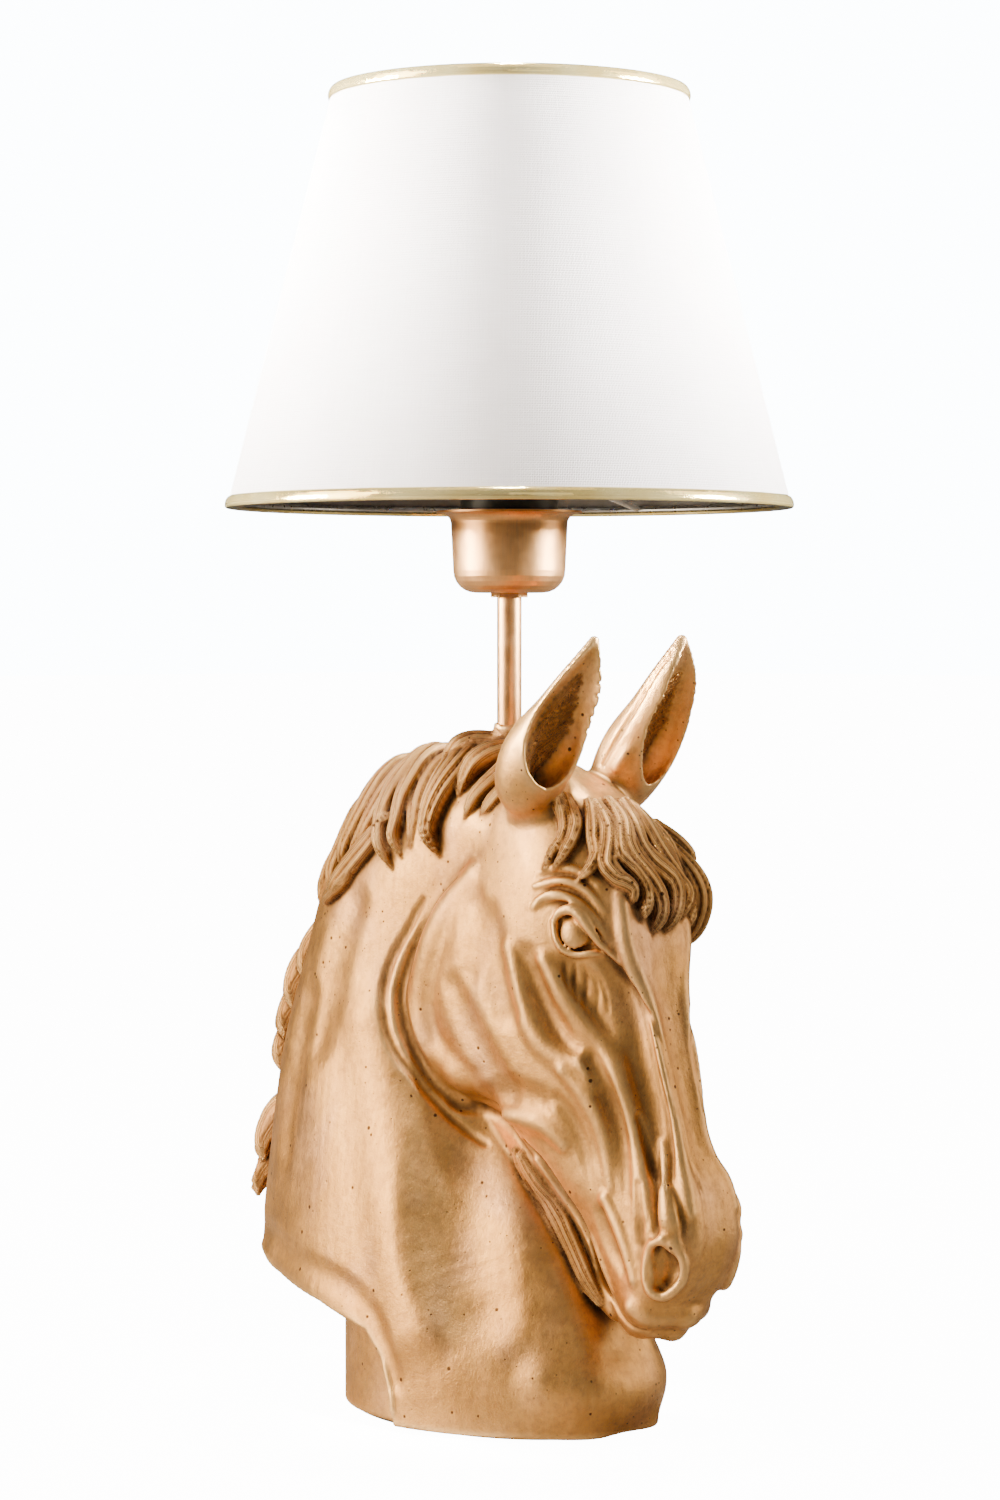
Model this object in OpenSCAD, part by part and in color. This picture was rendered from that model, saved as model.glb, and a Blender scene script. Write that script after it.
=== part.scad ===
// Table lamp on a cast horse-head bust: a hollow painted casting carries a steel
// stem, a spun metal cup, an E27 lampholder, an empire shade and a screw-in lamp.
// Millimetres, +Z up. The stem runs up the Z axis and the lamp stands on z = 0.
// The horse looks along -Y, so its right side is on -X.

/* [Overall heights] */
// Underside of the cup, where the stem's lock nut bears
cup_z = 334; // [325:1:345]
// Lower rim of the shade
shade_z = 368; // [366:1:372]

/* [Shade] */
// Outer diameter of the shade at its lower rim
shade_bottom_d = 228; // [200:1:260]
// Outer diameter of the shade at its upper rim
shade_top_d = 142; // [120:1:180]
// Height of the shade
shade_h = 169; // [140:1:190]
// Height of the gold trim on the outside of each rim
trim_h = 4.8; // [4:0.2:7]
// Diameter of the shade's rim wires
wire_d = 3; // [2:0.5:3.5]
// Number of arms from the rim wire to the fitter ring
arm_count = 3; // [3:1:4]

/* [Stem and cup] */
// Outer diameter of the steel stem
stem_d = 10; // [9:0.5:11]
// Wall of the steel stem
stem_wall = 1.2; // [1:0.1:1.6]
// Diameter of the cup's body
cup_d = 47; // [45:0.5:52]
// Diameter of the cup's rolled flange
flange_d = 59; // [56:0.5:66]
// Height of the cup
cup_h = 33; // [31:0.5:35]

/* [Casting] */
// Thickness of the felt pad under the base
felt_t = 1.5; // [1:0.1:2.5]
// Height of the lead's bush above the table
bush_z = 19; // [15:1:26]
// Bore of the lead's bush
bush_bore_d = 7; // [6:0.5:7.5]

/* [Hidden] */
$fn = 64;

// Colours of the pieces
cast_colour = [0.80, 0.58, 0.38];
black = [0.06, 0.07, 0.07];
brass = [0.80, 0.66, 0.30];
steel = [0.62, 0.62, 0.64];
white = [0.93, 0.92, 0.90];

gap = 0.05;             // between faces of pieces that are fixed together
swing = 0.3;            // between faces of pieces that turn against each other
cast_z = felt_t;        // underside of the casting
cup_t = 0.8;            // sheet of the spun cup
skirt_r = 19.75;        // thread of the lampholder's skirt
skirt_bore = 14.4;      // bore of the skirt
cap_z = cup_z + cup_t + gap;
cap_h = 18;
skirt_z = cap_z + cap_h + gap;
skirt_h = 39;
fitter_z = shade_z + 16;
fitter_t = 1.2;
lamp_z = skirt_z + 15;  // lowest point of the lamp's tip contact
lamp_r = 22.5;          // radius of the lamp's diffuser
seat_z = 249;           // seat inside the casting for the stem's washer

// ---------------------------------------------------------------- splines and lofts
function catmull(a, b, c, d, t) =
    0.5 * (2 * b + (c - a) * t + (2 * a - 5 * b + 4 * c - d) * t * t
           + (3 * b - a - 3 * c + d) * t * t * t);
function clamped(list, i) = list[max(0, min(len(list) - 1, i))];
function spline(list, u) =
    let (i = min(floor(u), len(list) - 2), t = u - i)
    catmull(clamped(list, i - 1), list[i], list[i + 1], clamped(list, i + 2), t);
function looped(list, u) =
    let (n = len(list), i = floor(u), t = u - i)
    catmull(list[(i + n - 1) % n], list[i % n], list[(i + 1) % n], list[(i + 2) % n], t);

// A station of a loft is [front y, z, back y, z, four half-widths from front to back].
section_depths = [0.02, 0.28, 0.62, 0.94];
function section(s, around) =
    let (half = [for (i = [0:3]) [s[4 + i], section_depths[i]]],
         outline = concat([[0, 0]], half, [[0, 1]],
                          [for (i = [3:-1:0]) [-half[i][0], half[i][1]]]),
         n = len(outline))
    [for (k = [0:around - 1]) let (p = looped(outline, k * n / around))
        [p[0], s[0] + (s[2] - s[0]) * p[1], s[1] + (s[3] - s[1]) * p[1]]];

// Closes a stack of rings, each a list of the same number of points, into a solid.
module skin(rings) {
    n = len(rings[0]);
    m = len(rings);
    points = [for (r = rings) each r];
    walls = [for (i = [0:m - 2], k = [0:n - 1]) let (a = i * n + k, b = i * n + (k + 1) % n)
        each [[a, b, a + n], [b, b + n, a + n]]];
    ends = [[for (k = [n - 1:-1:0]) k], [for (k = [0:n - 1]) (m - 1) * n + k]];
    polyhedron(points, concat(walls, ends), convexity = 8);
}

module loft(stations, steps, around) {
    skin([for (k = [0:steps]) section(spline(stations, k * (len(stations) - 1) / steps), around)]);
}

// ---------------------------------------------------------------- the horse
// Neck, from the poll to the base: the front is the throat and chest, the back the crest.
neck = [
    [-34, 214, -26, 264, 10, 18, 19, 10],
    [-26, 206, 0,   267, 13, 22, 24, 11],
    [-16, 196, 31,  268, 13, 23, 25, 13],
    [-6,  180, 64,  257, 14, 25, 28, 15],
    [2,   158, 93,  226, 15, 28, 32, 17],
    [0,   133, 110, 184, 16, 32, 37, 20],
    [-17, 108, 122, 145, 19, 38, 43, 23],
    [-40, 80,  129, 101, 22, 45, 49, 25],
    [-57, 50,  133, 62,  24, 49, 54, 27],
    [-65, 24,  127, 30,  26, 52, 56, 28],
    [-64, 0,   114, 0,   26, 52, 55, 28]
];
// Head, from the poll to the lips: the front is the face, the back the jaw.
head = [
    [-34,   265, -14, 262, 6,   10, 10, 5],
    [-56,   253, 4,   248, 12,  23, 23, 12],
    [-72,   234, 22,  226, 17,  30, 28, 15],
    [-82,   206, 42,  200, 19,  34, 33, 20],
    [-86,   178, 42,  167, 14,  31, 34, 21],
    [-93,   150, 18,  131, 12,  27, 31, 18],
    [-99.5, 127, -15, 103, 9,   20, 24, 14],
    [-110,  103, -40, 82,  13,  19, 19, 10],
    [-113,  85,  -54, 64,  14,  20, 18, 9],
    [-110,  71,  -62, 54,  13,  20, 18, 9],
    [-103,  60,  -67, 48,  10,  18, 17, 9],
    [-97,   51,  -72, 43,  6,   13, 13, 7],
    [-91,   45,  -78, 40,  3,   6,  5,  3]
];
// Hollow of the casting, from the seat of the stem's washer to its mouth in the base.
hollow = [
    [-8, 198,  18,  246,  8,  13, 15, 6],
    [4,  180,  50,  238,  8,  15, 18, 7],
    [13, 160,  80,  214,  9,  18, 22, 9],
    [13, 138,  102, 182,  10, 22, 27, 12],
    [-5, 114,  112, 144,  13, 28, 33, 15],
    [-28, 86,  118, 102,  16, 35, 38, 18],
    [-44, 58,  92,  66,   20, 38, 40, 20],
    [-49, 30,  66,  30,   22, 40, 40, 22],
    [-48, -3,  66,  -3,   22, 40, 40, 22]
];
// Side view of what is cut from under the back of the neck, above the pedestal.
hem = [[9, -5], [11, 14], [16, 28], [26, 38], [55, 46], [90, 51], [118, 55], [160, 60], [160, -5]];

// Each lock of hair: its path's points, its half-width, its half-thickness.
mane_locks = [
    [[[-2, -8, 268], [-12, 16, 274], [-27, 34, 252], [-33, 40, 226]], 13, 6],
    [[[0, 22, 270], [-10, 44, 268], [-24, 62, 246], [-32, 66, 222]], 10, 5],
    [[[0, 40, 264], [-6, 62, 264], [-20, 80, 240], [-29, 78, 214]], 10, 5],
    [[[2, 52, 258], [2, 77, 254], [-8, 97, 230], [-20, 105, 200]], 11, 6],
    [[[4, 76, 242], [4, 98, 226], [2, 112, 198], [-8, 117, 168]], 11, 6],
    [[[2, -4, 270], [14, 20, 270], [30, 38, 246], [36, 36, 212]], 13, 6],
    [[[2, 24, 268], [14, 48, 264], [32, 66, 234], [39, 58, 196]], 13, 6],
    [[[2, 52, 260], [14, 78, 250], [34, 88, 214], [42, 76, 174]], 13, 6],
    [[[2, 80, 240], [14, 106, 220], [34, 106, 184], [46, 90, 146]], 13, 6],
    [[[0, 98, 214], [8, 117, 188], [32, 115, 152], [49, 98, 116]], 13, 7],
    [[[0, 108, 182], [4, 127, 152], [30, 126, 118], [54, 104, 88]], 13, 7],
    [[[0, 116, 146], [4, 134, 118], [28, 132, 92], [54, 112, 70]], 12, 7],
    [[[0, 124, 116], [0, 139, 100], [10, 140, 80], [26, 132, 62]], 11, 6]
];
forelock = [
    [[[-3, -34, 268], [-10, -64, 258], [-12, -80, 236], [-20, -84, 212]], 9, 5],
    [[[-8, -36, 264], [-22, -58, 250], [-27, -72, 234], [-22, -80, 222]], 8, 4],
    [[[2, -36, 268], [4, -70, 256], [2, -88, 236], [-6, -91, 208]], 9, 5],
    [[[6, -34, 266], [16, -62, 254], [22, -80, 236], [28, -84, 214]], 9, 5]
];

// One lock: a leaf-shaped tube along its path, thickest a third of the way down.
module lock(path, half_width, half_thickness) {
    steps = 8;
    sides = 6;
    skin([for (k = [0:steps])
        let (u = k / steps, s = u * (len(path) - 1),
             p = spline(path, s),
             d = spline(path, min(s + 0.1, len(path) - 1)) - spline(path, max(s - 0.1, 0)),
             along = d / norm(d),
             out = [p[0] * 1.6, 0.6 * p[1], 30],
             across = cross(along, out) / norm(cross(along, out)),
             up = cross(across, along),
             w = half_width * (0.16 + pow(sin(180 * pow(u * 0.94 + 0.03, 0.6)), 0.8)),
             t = half_thickness * (0.2 + sin(180 * pow(u * 0.94 + 0.03, 0.7))))
        [for (a = [0:sides - 1]) p + across * w * cos(a * 360 / sides)
            + up * t * sin(a * 360 / sides)]]);
}

// One ear on the side given by side = -1 or 1: a leaf-shaped shell, hollow to the front.
ear_axis = [[-34, 246], [-38, 260], [-48, 278], [-59, 296], [-69, 312]];
ear_widths = [11, 14, 16, 11, 2];
module ear(side) {
    function at(i) = [side * (23 + [0, 2, 3, 3, 2][i]), ear_axis[i][0], ear_axis[i][1]];
    difference() {
        for (i = [0:3])
            hull() for (k = [i, i + 1])
                translate(at(k)) rotate([28, 0, 0])
                    scale([ear_widths[k], ear_widths[k] * 0.7 + 1.5, 3]) sphere(r = 1, $fn = 16);
        for (i = [1:2])
            hull() for (k = [i, i + 1])
                translate(at(k) + [side * 3, -ear_widths[k] * 0.62 - 2, 2]) rotate([28, 0, 0])
                    scale([ear_widths[k] * 0.62, ear_widths[k] * 0.6, 3]) sphere(r = 1, $fn = 12);
    }
}

module pedestal() {
    intersection() {
        translate([0, 10, cast_z]) linear_extrude(60)
            scale([50 / 70, 1]) circle(r = 70, $fn = 56);
        translate([-60, 0, 0]) cube([120, 100, 70]);
    }
}

module horse_bust() {
    color(cast_colour) difference() {
        union() {
            difference() {
                translate([0, 0, cast_z]) loft(neck, 20, 28);
                translate([-80, 0, 0]) rotate([90, 0, 90]) linear_extrude(160) polygon(hem);
            }
            pedestal();
            loft(head, 25, 28);
            for (side = [-1, 1]) ear(side);
            for (l = concat(mane_locks, forelock)) lock(l[0], l[1], l[2]);
            translate([0, 0, seat_z]) cylinder(d1 = 34, d2 = stem_d + 4, h = 32, $fn = 24);
        }
        loft(hollow, 14, 18);
        translate([0, 0, seat_z - 22]) cylinder(d = 27, h = 22, $fn = 32);
        cylinder(d = stem_d + 0.5, h = 400, $fn = 40);
        base_recess();
        translate([0, 50, bush_z]) rotate([-90, 0, 0]) cylinder(d = 9.4, h = 60, $fn = 32);
    }
}

// ---------------------------------------------------------------- base
module oval(half_x, half_y, h) {
    edge = [for (i = [0 : 71]) [half_x * cos(5 * i), half_y * sin(5 * i)]];
    linear_extrude(h) polygon(edge);
}
module base_recess() {
    translate([0, 9, 0]) oval(43, 60, cast_z + 3.1);
}
module base_board() {
    color([0.45, 0.33, 0.22]) translate([0, 9, cast_z]) oval(42.6, 59.6, 3);
}
module felt_pad() {
    color(black) translate([0, 9, 0]) oval(47, 67, felt_t);
}
module lead_bush() {
    color(black) translate([0, 80.2, bush_z]) rotate([90, 0, 0]) difference() {
        union() {
            translate([0, 0, -1.6]) cylinder(d = 13, h = 1.6);
            cylinder(d = 9, h = 13);
        }
        translate([0, 0, -3]) cylinder(d = bush_bore_d, h = 20);
    }
}

// ---------------------------------------------------------------- stem and cup
module hex_nut(flats, bore, h) {
    difference() {
        rotate(15) cylinder(d = flats / cos(30), h = h, $fn = 6);
        translate([0, 0, -1]) cylinder(d = bore, h = h + 2);
    }
}
module tube(outer, inner, h) {
    difference() {
        cylinder(r = outer, h = h);
        translate([0, 0, -1]) cylinder(r = inner, h = h + 2);
    }
}
module stem_washer() {
    color(steel) translate([0, 0, seat_z - 1.5 - gap]) tube(12, stem_d / 2 + 0.2, 1.5);
}
module stem_nut() {
    color(brass) translate([0, 0, seat_z - 6.5 - 2 * gap]) hex_nut(14, stem_d + 2 * gap, 5);
}
module stem_tube() {
    color(cast_colour) translate([0, 0, seat_z - 15])
        tube(stem_d / 2, stem_d / 2 - stem_wall, cap_z + 10 - seat_z + 15);
}
module cup_lock_nut() {
    color(cast_colour) translate([0, 0, cup_z - 1.8 - gap]) hex_nut(13, stem_d + 2 * gap, 1.8);
}
// Half of the cup's outer outline, from the stem's hole to the flange's edge, inset by t.
function cup_outline(t) =
    let (r = cup_d / 2, corner = 9, roll = 4.5, top = cup_z + cup_h)
    concat(
        [[stem_d / 2 + 0.2, cup_z + t], [r - 0.8 - corner, cup_z + t]],
        [for (a = [-75:15:0]) [r - 0.8 - corner + (corner - t) * cos(a),
                               cup_z + corner + (corner - t) * sin(a)]],
        [[r + 0.1 - t, top - roll - 1.6]],
        [for (a = [180:-15:90]) [r + 0.1 + roll + (roll + t) * cos(a),
                                 top - cup_t - roll + (roll + t) * sin(a)]],
        [[flange_d / 2, top - cup_t + t]]);
module holder_cup() {
    outer = cup_outline(0);
    inner = cup_outline(cup_t);
    color(cast_colour) rotate_extrude()
        polygon(concat(outer, [for (i = [len(inner) - 1:-1:0]) inner[i]]));
}

// ---------------------------------------------------------------- lampholder
module holder_cap() {
    color(black) difference() {
        rotate_extrude() polygon([
            [0, cap_z], [13, cap_z], [17.5, cap_z + 5], [19.2, cap_z + 9],
            [19.2, cap_z + cap_h], [0, cap_z + cap_h]]);
        translate([0, 0, cap_z - 1]) cylinder(d = stem_d + 2 * gap, h = 30);
        translate([0, 0, cap_z + 11]) cylinder(r = 17, h = 20);
        translate([-25, 0, cap_z + 6]) rotate([0, 90, 0]) cylinder(d = 3.1, h = 24);
    }
}
module holder_grub_screw() {
    color(steel) translate([-14, 0, cap_z + 6]) rotate([0, 90, 0]) difference() {
        cylinder(d = 3, h = 14 - stem_d / 2 - gap);
        translate([-0.4, -2, -1]) cube([0.8, 4, 2]);
    }
}
module holder_insert() {
    low = skirt_z - 7 + gap;
    color(white) difference() {
        union() {
            translate([0, 0, low]) cylinder(r = 16.9, h = 7 - 2 * gap);
            translate([0, 0, low]) cylinder(r = 14.3, h = 15 - gap);
        }
        translate([0, 0, low - 1]) cylinder(r = 3.2, h = 20);
        for (s = [-1, 1]) {
            translate([s * 9 - 3.1, -4.1, low - 1]) cube([6.2, 8.2, skirt_z + 3.1 - low + 1]);
            translate([s * 9, 0, low - 1]) cylinder(d = 3.1, h = 20);
        }
    }
}
module terminal_blocks() {
    color(brass) for (s = [-1, 1]) translate([s * 9, 0, skirt_z - 5]) difference() {
        translate([-3, -4, 0]) cube([6, 8, 8]);
        translate([0, -6, 3]) rotate([-90, 0, 0]) cylinder(d = 2.6, h = 12);
        translate([0, 0, -1]) cylinder(d = 3.1, h = 12);
    }
}
module terminal_screws() {
    color(steel) for (s = [-1, 1]) translate([s * 9, 0, skirt_z - 6.8]) {
        cylinder(d = 5.4, h = 1.7);
        translate([0, 0, 1.6]) cylinder(d = 2.9, h = 5);
    }
}
module centre_contact() {
    z = skirt_z + 8 + gap;
    color(brass) translate([0, 2.5, 0]) rotate([90, 0, 0]) linear_extrude(5) polygon([
        [-12, z], [-6, z], [3, lamp_z - swing - 0.6], [6, lamp_z - swing - 0.6],
        [6, lamp_z - swing], [2.8, lamp_z - swing], [-6.3, z + 0.6], [-12, z + 0.6]]);
}
module side_contact() {
    z = skirt_z + 8 + gap;
    color(brass) translate([0, 2.5, 0]) rotate([90, 0, 0]) linear_extrude(5)
        polygon([[8, z], [12.4, z], [13.2, z + 4], [12.7, z + 4], [12, z + 0.6], [8, z + 0.6]]);
}
module screw_shell() {
    color(brass) translate([0, 0, skirt_z + 8 + 4.4]) tube(14.3, 13.7, 22);
}
module holder_skirt() {
    color(black) translate([0, 0, skirt_z]) difference() {
        union() {
            cylinder(r = skirt_r - 0.6, h = skirt_h);
            translate([0, 0, 8]) cylinder(r = skirt_r, h = skirt_h - 8);
        }
        translate([0, 0, -1]) cylinder(r = skirt_bore, h = skirt_h + 2);
        translate([0, 0, skirt_h - 3]) cylinder(r1 = skirt_bore, r2 = skirt_bore + 3.2, h = 3.2);
    }
}
module ring_nut(z, h) {
    translate([0, 0, z]) difference() {
        union() {
            cylinder(r = 22.4, h = h);
            cylinder(r = 24, h = 2);
        }
        translate([0, 0, -1]) cylinder(r = skirt_r + gap, h = h + 2);
    }
}
module lower_ring() {
    color(black) translate([0, 0, 2 * fitter_z - 2 * swing])
        mirror([0, 0, 1]) ring_nut(fitter_z - swing, 7);
}
module shade_ring() {
    color(black) ring_nut(fitter_z + fitter_t + swing, 7);
}

// ---------------------------------------------------------------- shade
backing_t = 0.45;
fabric_t = 0.45;
slope = (shade_bottom_d - shade_top_d) / 2 / shade_h;
function cone_r(z, inset) = shade_bottom_d / 2 - (z - shade_z) * slope - inset;
rim_lift = 0.9;   // the wall's edges stop this far inside the trim
wire_inset = backing_t + fabric_t + wire_d / 2 * sqrt(1 + slope * slope) + 3 * gap;
bottom_wire_z = shade_z + rim_lift + wire_d / 2;
top_wire_z = shade_z + shade_h - rim_lift - wire_d / 2;

module wall(inset, t) {
    low = shade_z + rim_lift;
    high = shade_z + shade_h - rim_lift;
    rotate_extrude($fn = 96) polygon([
        [cone_r(low, inset + t), low], [cone_r(low, inset), low],
        [cone_r(high, inset), high], [cone_r(high, inset + t), high]]);
}
module shade_fabric() {
    color(white) wall(0, fabric_t);
}
module shade_backing() {
    color(white) wall(fabric_t + gap, backing_t);
}
module rim_wire(z) {
    rotate_extrude($fn = 96) translate([cone_r(z, wire_inset), z]) circle(d = wire_d, $fn = 24);
}
module shade_bottom_wire() {
    color(steel) rim_wire(bottom_wire_z);
}
module shade_top_wire() {
    color(steel) rim_wire(top_wire_z);
}
module shade_fitter() {
    reach = cone_r(bottom_wire_z, wire_inset) - wire_d / 2 - gap;
    rise = fitter_z + 0.6 - bottom_wire_z;
    run = reach - 25.6;
    color(white) {
        translate([0, 0, fitter_z]) tube(27, skirt_r + 0.5, fitter_t);
        for (a = [0:arm_count - 1]) rotate(a * 360 / arm_count + 15)
            translate([25.6, 0, fitter_z + 0.6]) rotate([0, 90 + atan(rise / run), 0])
                translate([-0.6, 0, 0]) intersection() {
                    cylinder(d = 2.6, h = norm([rise, run]));
                    translate([-5, -5, 0]) cube([10, 10, 300]);
                }
    }
}
// The trim folds over the rim: a half-round bead outside, a web and a lip inside.
module trim(z, up) {
    outer = trim_h;
    lip = 1;
    deep = wire_inset + wire_d / 2 + 0.3;
    web = rim_lift - gap;
    function r(h, inset) = cone_r(z + up * h, inset);
    bead = [for (a = [0:15:180]) let (h = outer / 2 - outer / 2 * cos(a))
            [r(h, -gap) + 1.3 * sin(a), z + up * h]];
    color(brass) rotate_extrude($fn = 96) polygon(concat(
        bead,
        [[r(web, -gap), z + up * web], [r(web, deep), z + up * web],
         [r(lip, deep), z + up * lip], [r(lip, deep + 0.5), z + up * lip],
         [r(0.3, deep + 0.5), z + up * 0.3], [r(0, deep), z]]));
}
module trim_bottom() {
    trim(shade_z, 1);
}
module trim_top() {
    trim(shade_z + shade_h, -1);
}

// ---------------------------------------------------------------- lamp
lamp_neck_z = lamp_z + 24;
module lamp_tip() {
    color(steel) translate([0, 0, lamp_z]) cylinder(r1 = 3.5, r2 = 4.8, h = 1.4);
}
module lamp_insulator() {
    color(black) translate([0, 0, lamp_z + 1.4]) cylinder(r1 = 5, r2 = 11, h = 3.4);
}
module lamp_cap() {
    color(steel) translate([0, 0, lamp_z + 4.8]) tube(13.2, 12.6, lamp_neck_z - lamp_z - 4.8);
}
module lamp_housing() {
    color(white) rotate_extrude() polygon([
        [0, lamp_neck_z - 12], [12.5, lamp_neck_z - 12], [12.5, lamp_neck_z + gap],
        [14, lamp_neck_z + gap], [14.4, lamp_neck_z + 5],
        [16.5, lamp_neck_z + 11], [19.5, lamp_neck_z + 17],
        [lamp_r - 0.4, lamp_neck_z + 24], [lamp_r - 2.5, lamp_neck_z + 24],
        [lamp_r - 2.5, lamp_neck_z + 22], [0, lamp_neck_z + 22]]);
}
module lamp_board() {
    color(white) translate([0, 0, lamp_neck_z + 22 + gap]) cylinder(r = lamp_r - 3, h = 1.2);
}
module lamp_diffuser() {
    z = lamp_neck_z + 24 + gap;
    color(white) rotate_extrude() polygon(concat(
        [for (a = [0:7.5:90]) [lamp_r * cos(a), z + lamp_r * sin(a)]],
        [for (a = [90:-7.5:0]) [(lamp_r - 1.2) * cos(a), z + (lamp_r - 1.2) * sin(a)]]));
}

// ---------------------------------------------------------------- the parts
horse_bust();
base_board();
felt_pad();
lead_bush();
stem_washer();
stem_nut();
stem_tube();
cup_lock_nut();
holder_cup();
holder_cap();
holder_grub_screw();
holder_insert();
terminal_blocks();
terminal_screws();
centre_contact();
side_contact();
screw_shell();
holder_skirt();
lower_ring();
shade_fitter();
shade_bottom_wire();
shade_top_wire();
shade_backing();
shade_fabric();
trim_bottom();
trim_top();
shade_ring();
lamp_cap();
lamp_insulator();
lamp_tip();
lamp_housing();
lamp_board();
lamp_diffuser();
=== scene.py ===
import math

import bpy
import numpy as np
import openvdb
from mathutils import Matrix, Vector


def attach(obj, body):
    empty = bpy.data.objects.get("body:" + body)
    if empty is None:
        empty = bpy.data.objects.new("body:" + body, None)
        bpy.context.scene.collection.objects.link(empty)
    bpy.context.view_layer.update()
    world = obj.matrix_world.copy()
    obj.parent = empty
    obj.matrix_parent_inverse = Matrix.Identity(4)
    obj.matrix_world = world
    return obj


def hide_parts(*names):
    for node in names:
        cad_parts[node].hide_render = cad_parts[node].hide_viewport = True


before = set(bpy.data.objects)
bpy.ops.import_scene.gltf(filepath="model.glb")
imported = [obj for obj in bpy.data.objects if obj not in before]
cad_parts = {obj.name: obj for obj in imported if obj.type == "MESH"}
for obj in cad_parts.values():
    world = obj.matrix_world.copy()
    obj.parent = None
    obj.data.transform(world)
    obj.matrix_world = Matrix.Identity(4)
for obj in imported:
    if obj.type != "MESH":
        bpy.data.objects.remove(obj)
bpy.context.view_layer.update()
FOOT_Z = 1.5

# ---------------------------------------------------------------- splines and lofts, in millimetres
def catmull(points, n, loop=False):
    """n points evenly spread in parameter along a Catmull-Rom curve through points, open or closed."""
    p = np.asarray(points, float)
    if p.ndim == 1:
        p = p[:, None]
    m = len(p)
    u = np.arange(n) * m / n if loop else np.linspace(0, m - 1, n)
    i = u.astype(int) if loop else np.minimum(u.astype(int), m - 2)
    t = (u - i)[:, None]
    a, b, c, d = (p[(i + k) % m if loop else np.clip(i + k, 0, m - 1)] for k in (-1, 0, 1, 2))
    return 0.5 * (2 * b + (c - a) * t + (2 * a - 5 * b + 4 * c - d) * t**2 + (3 * b - a - 3 * c + d) * t**3)


def spread(v, n):
    """One number, or a list of them, as n numbers."""
    return catmull(v if np.size(v) > 1 else [v, v], n)[:, 0]


# how far back from the front of a station each of its four half-widths is, as a share of its depth
DEPTHS = (0.02, 0.28, 0.62, 0.94)


def loft(stations, steps, around):
    """Rings of a body whose stations are [front y, z, back y, z, four half-widths]."""
    rings = []
    for s in catmull(stations, steps + 1):
        half = list(zip(s[4:], DEPTHS))
        flat = [(0, 0)] + half + [(0, 1)] + [(-w, q) for w, q in half[::-1]]
        p = catmull(flat, around, True)
        rings.append(np.stack([p[:, 0], s[0] + (s[2] - s[0]) * p[:, 1], s[1] + (s[3] - s[1]) * p[:, 1]], 1))
    return np.array(rings)


def skin(rings):
    """Points and triangles of a closed body through rings of equal length."""
    m, n = rings.shape[:2]
    points = np.concatenate([rings.reshape(-1, 3), rings[0].mean(0)[None], rings[-1].mean(0)[None]])
    k = np.arange(n)
    l = (k + 1) % n
    tris = []
    for i in range(m - 1):
        a, b = i * n + k, i * n + l
        tris += [np.stack([a, b, a + n], 1), np.stack([b, b + n, a + n], 1)]
    tris += [np.stack([l, k, np.full(n, m * n)], 1)]
    tris += [np.stack([(m - 1) * n + k, (m - 1) * n + l, np.full(n, m * n + 1)], 1)]
    return points, np.concatenate(tris)


# ---------------------------------------------------------------- clay: a solid as signed distances
FAR = 16.0


def smooth_min(a, b, k):
    h = np.maximum(k - np.abs(a - b), 0) / k
    return np.minimum(a, b) - h * h * k * 0.25


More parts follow.
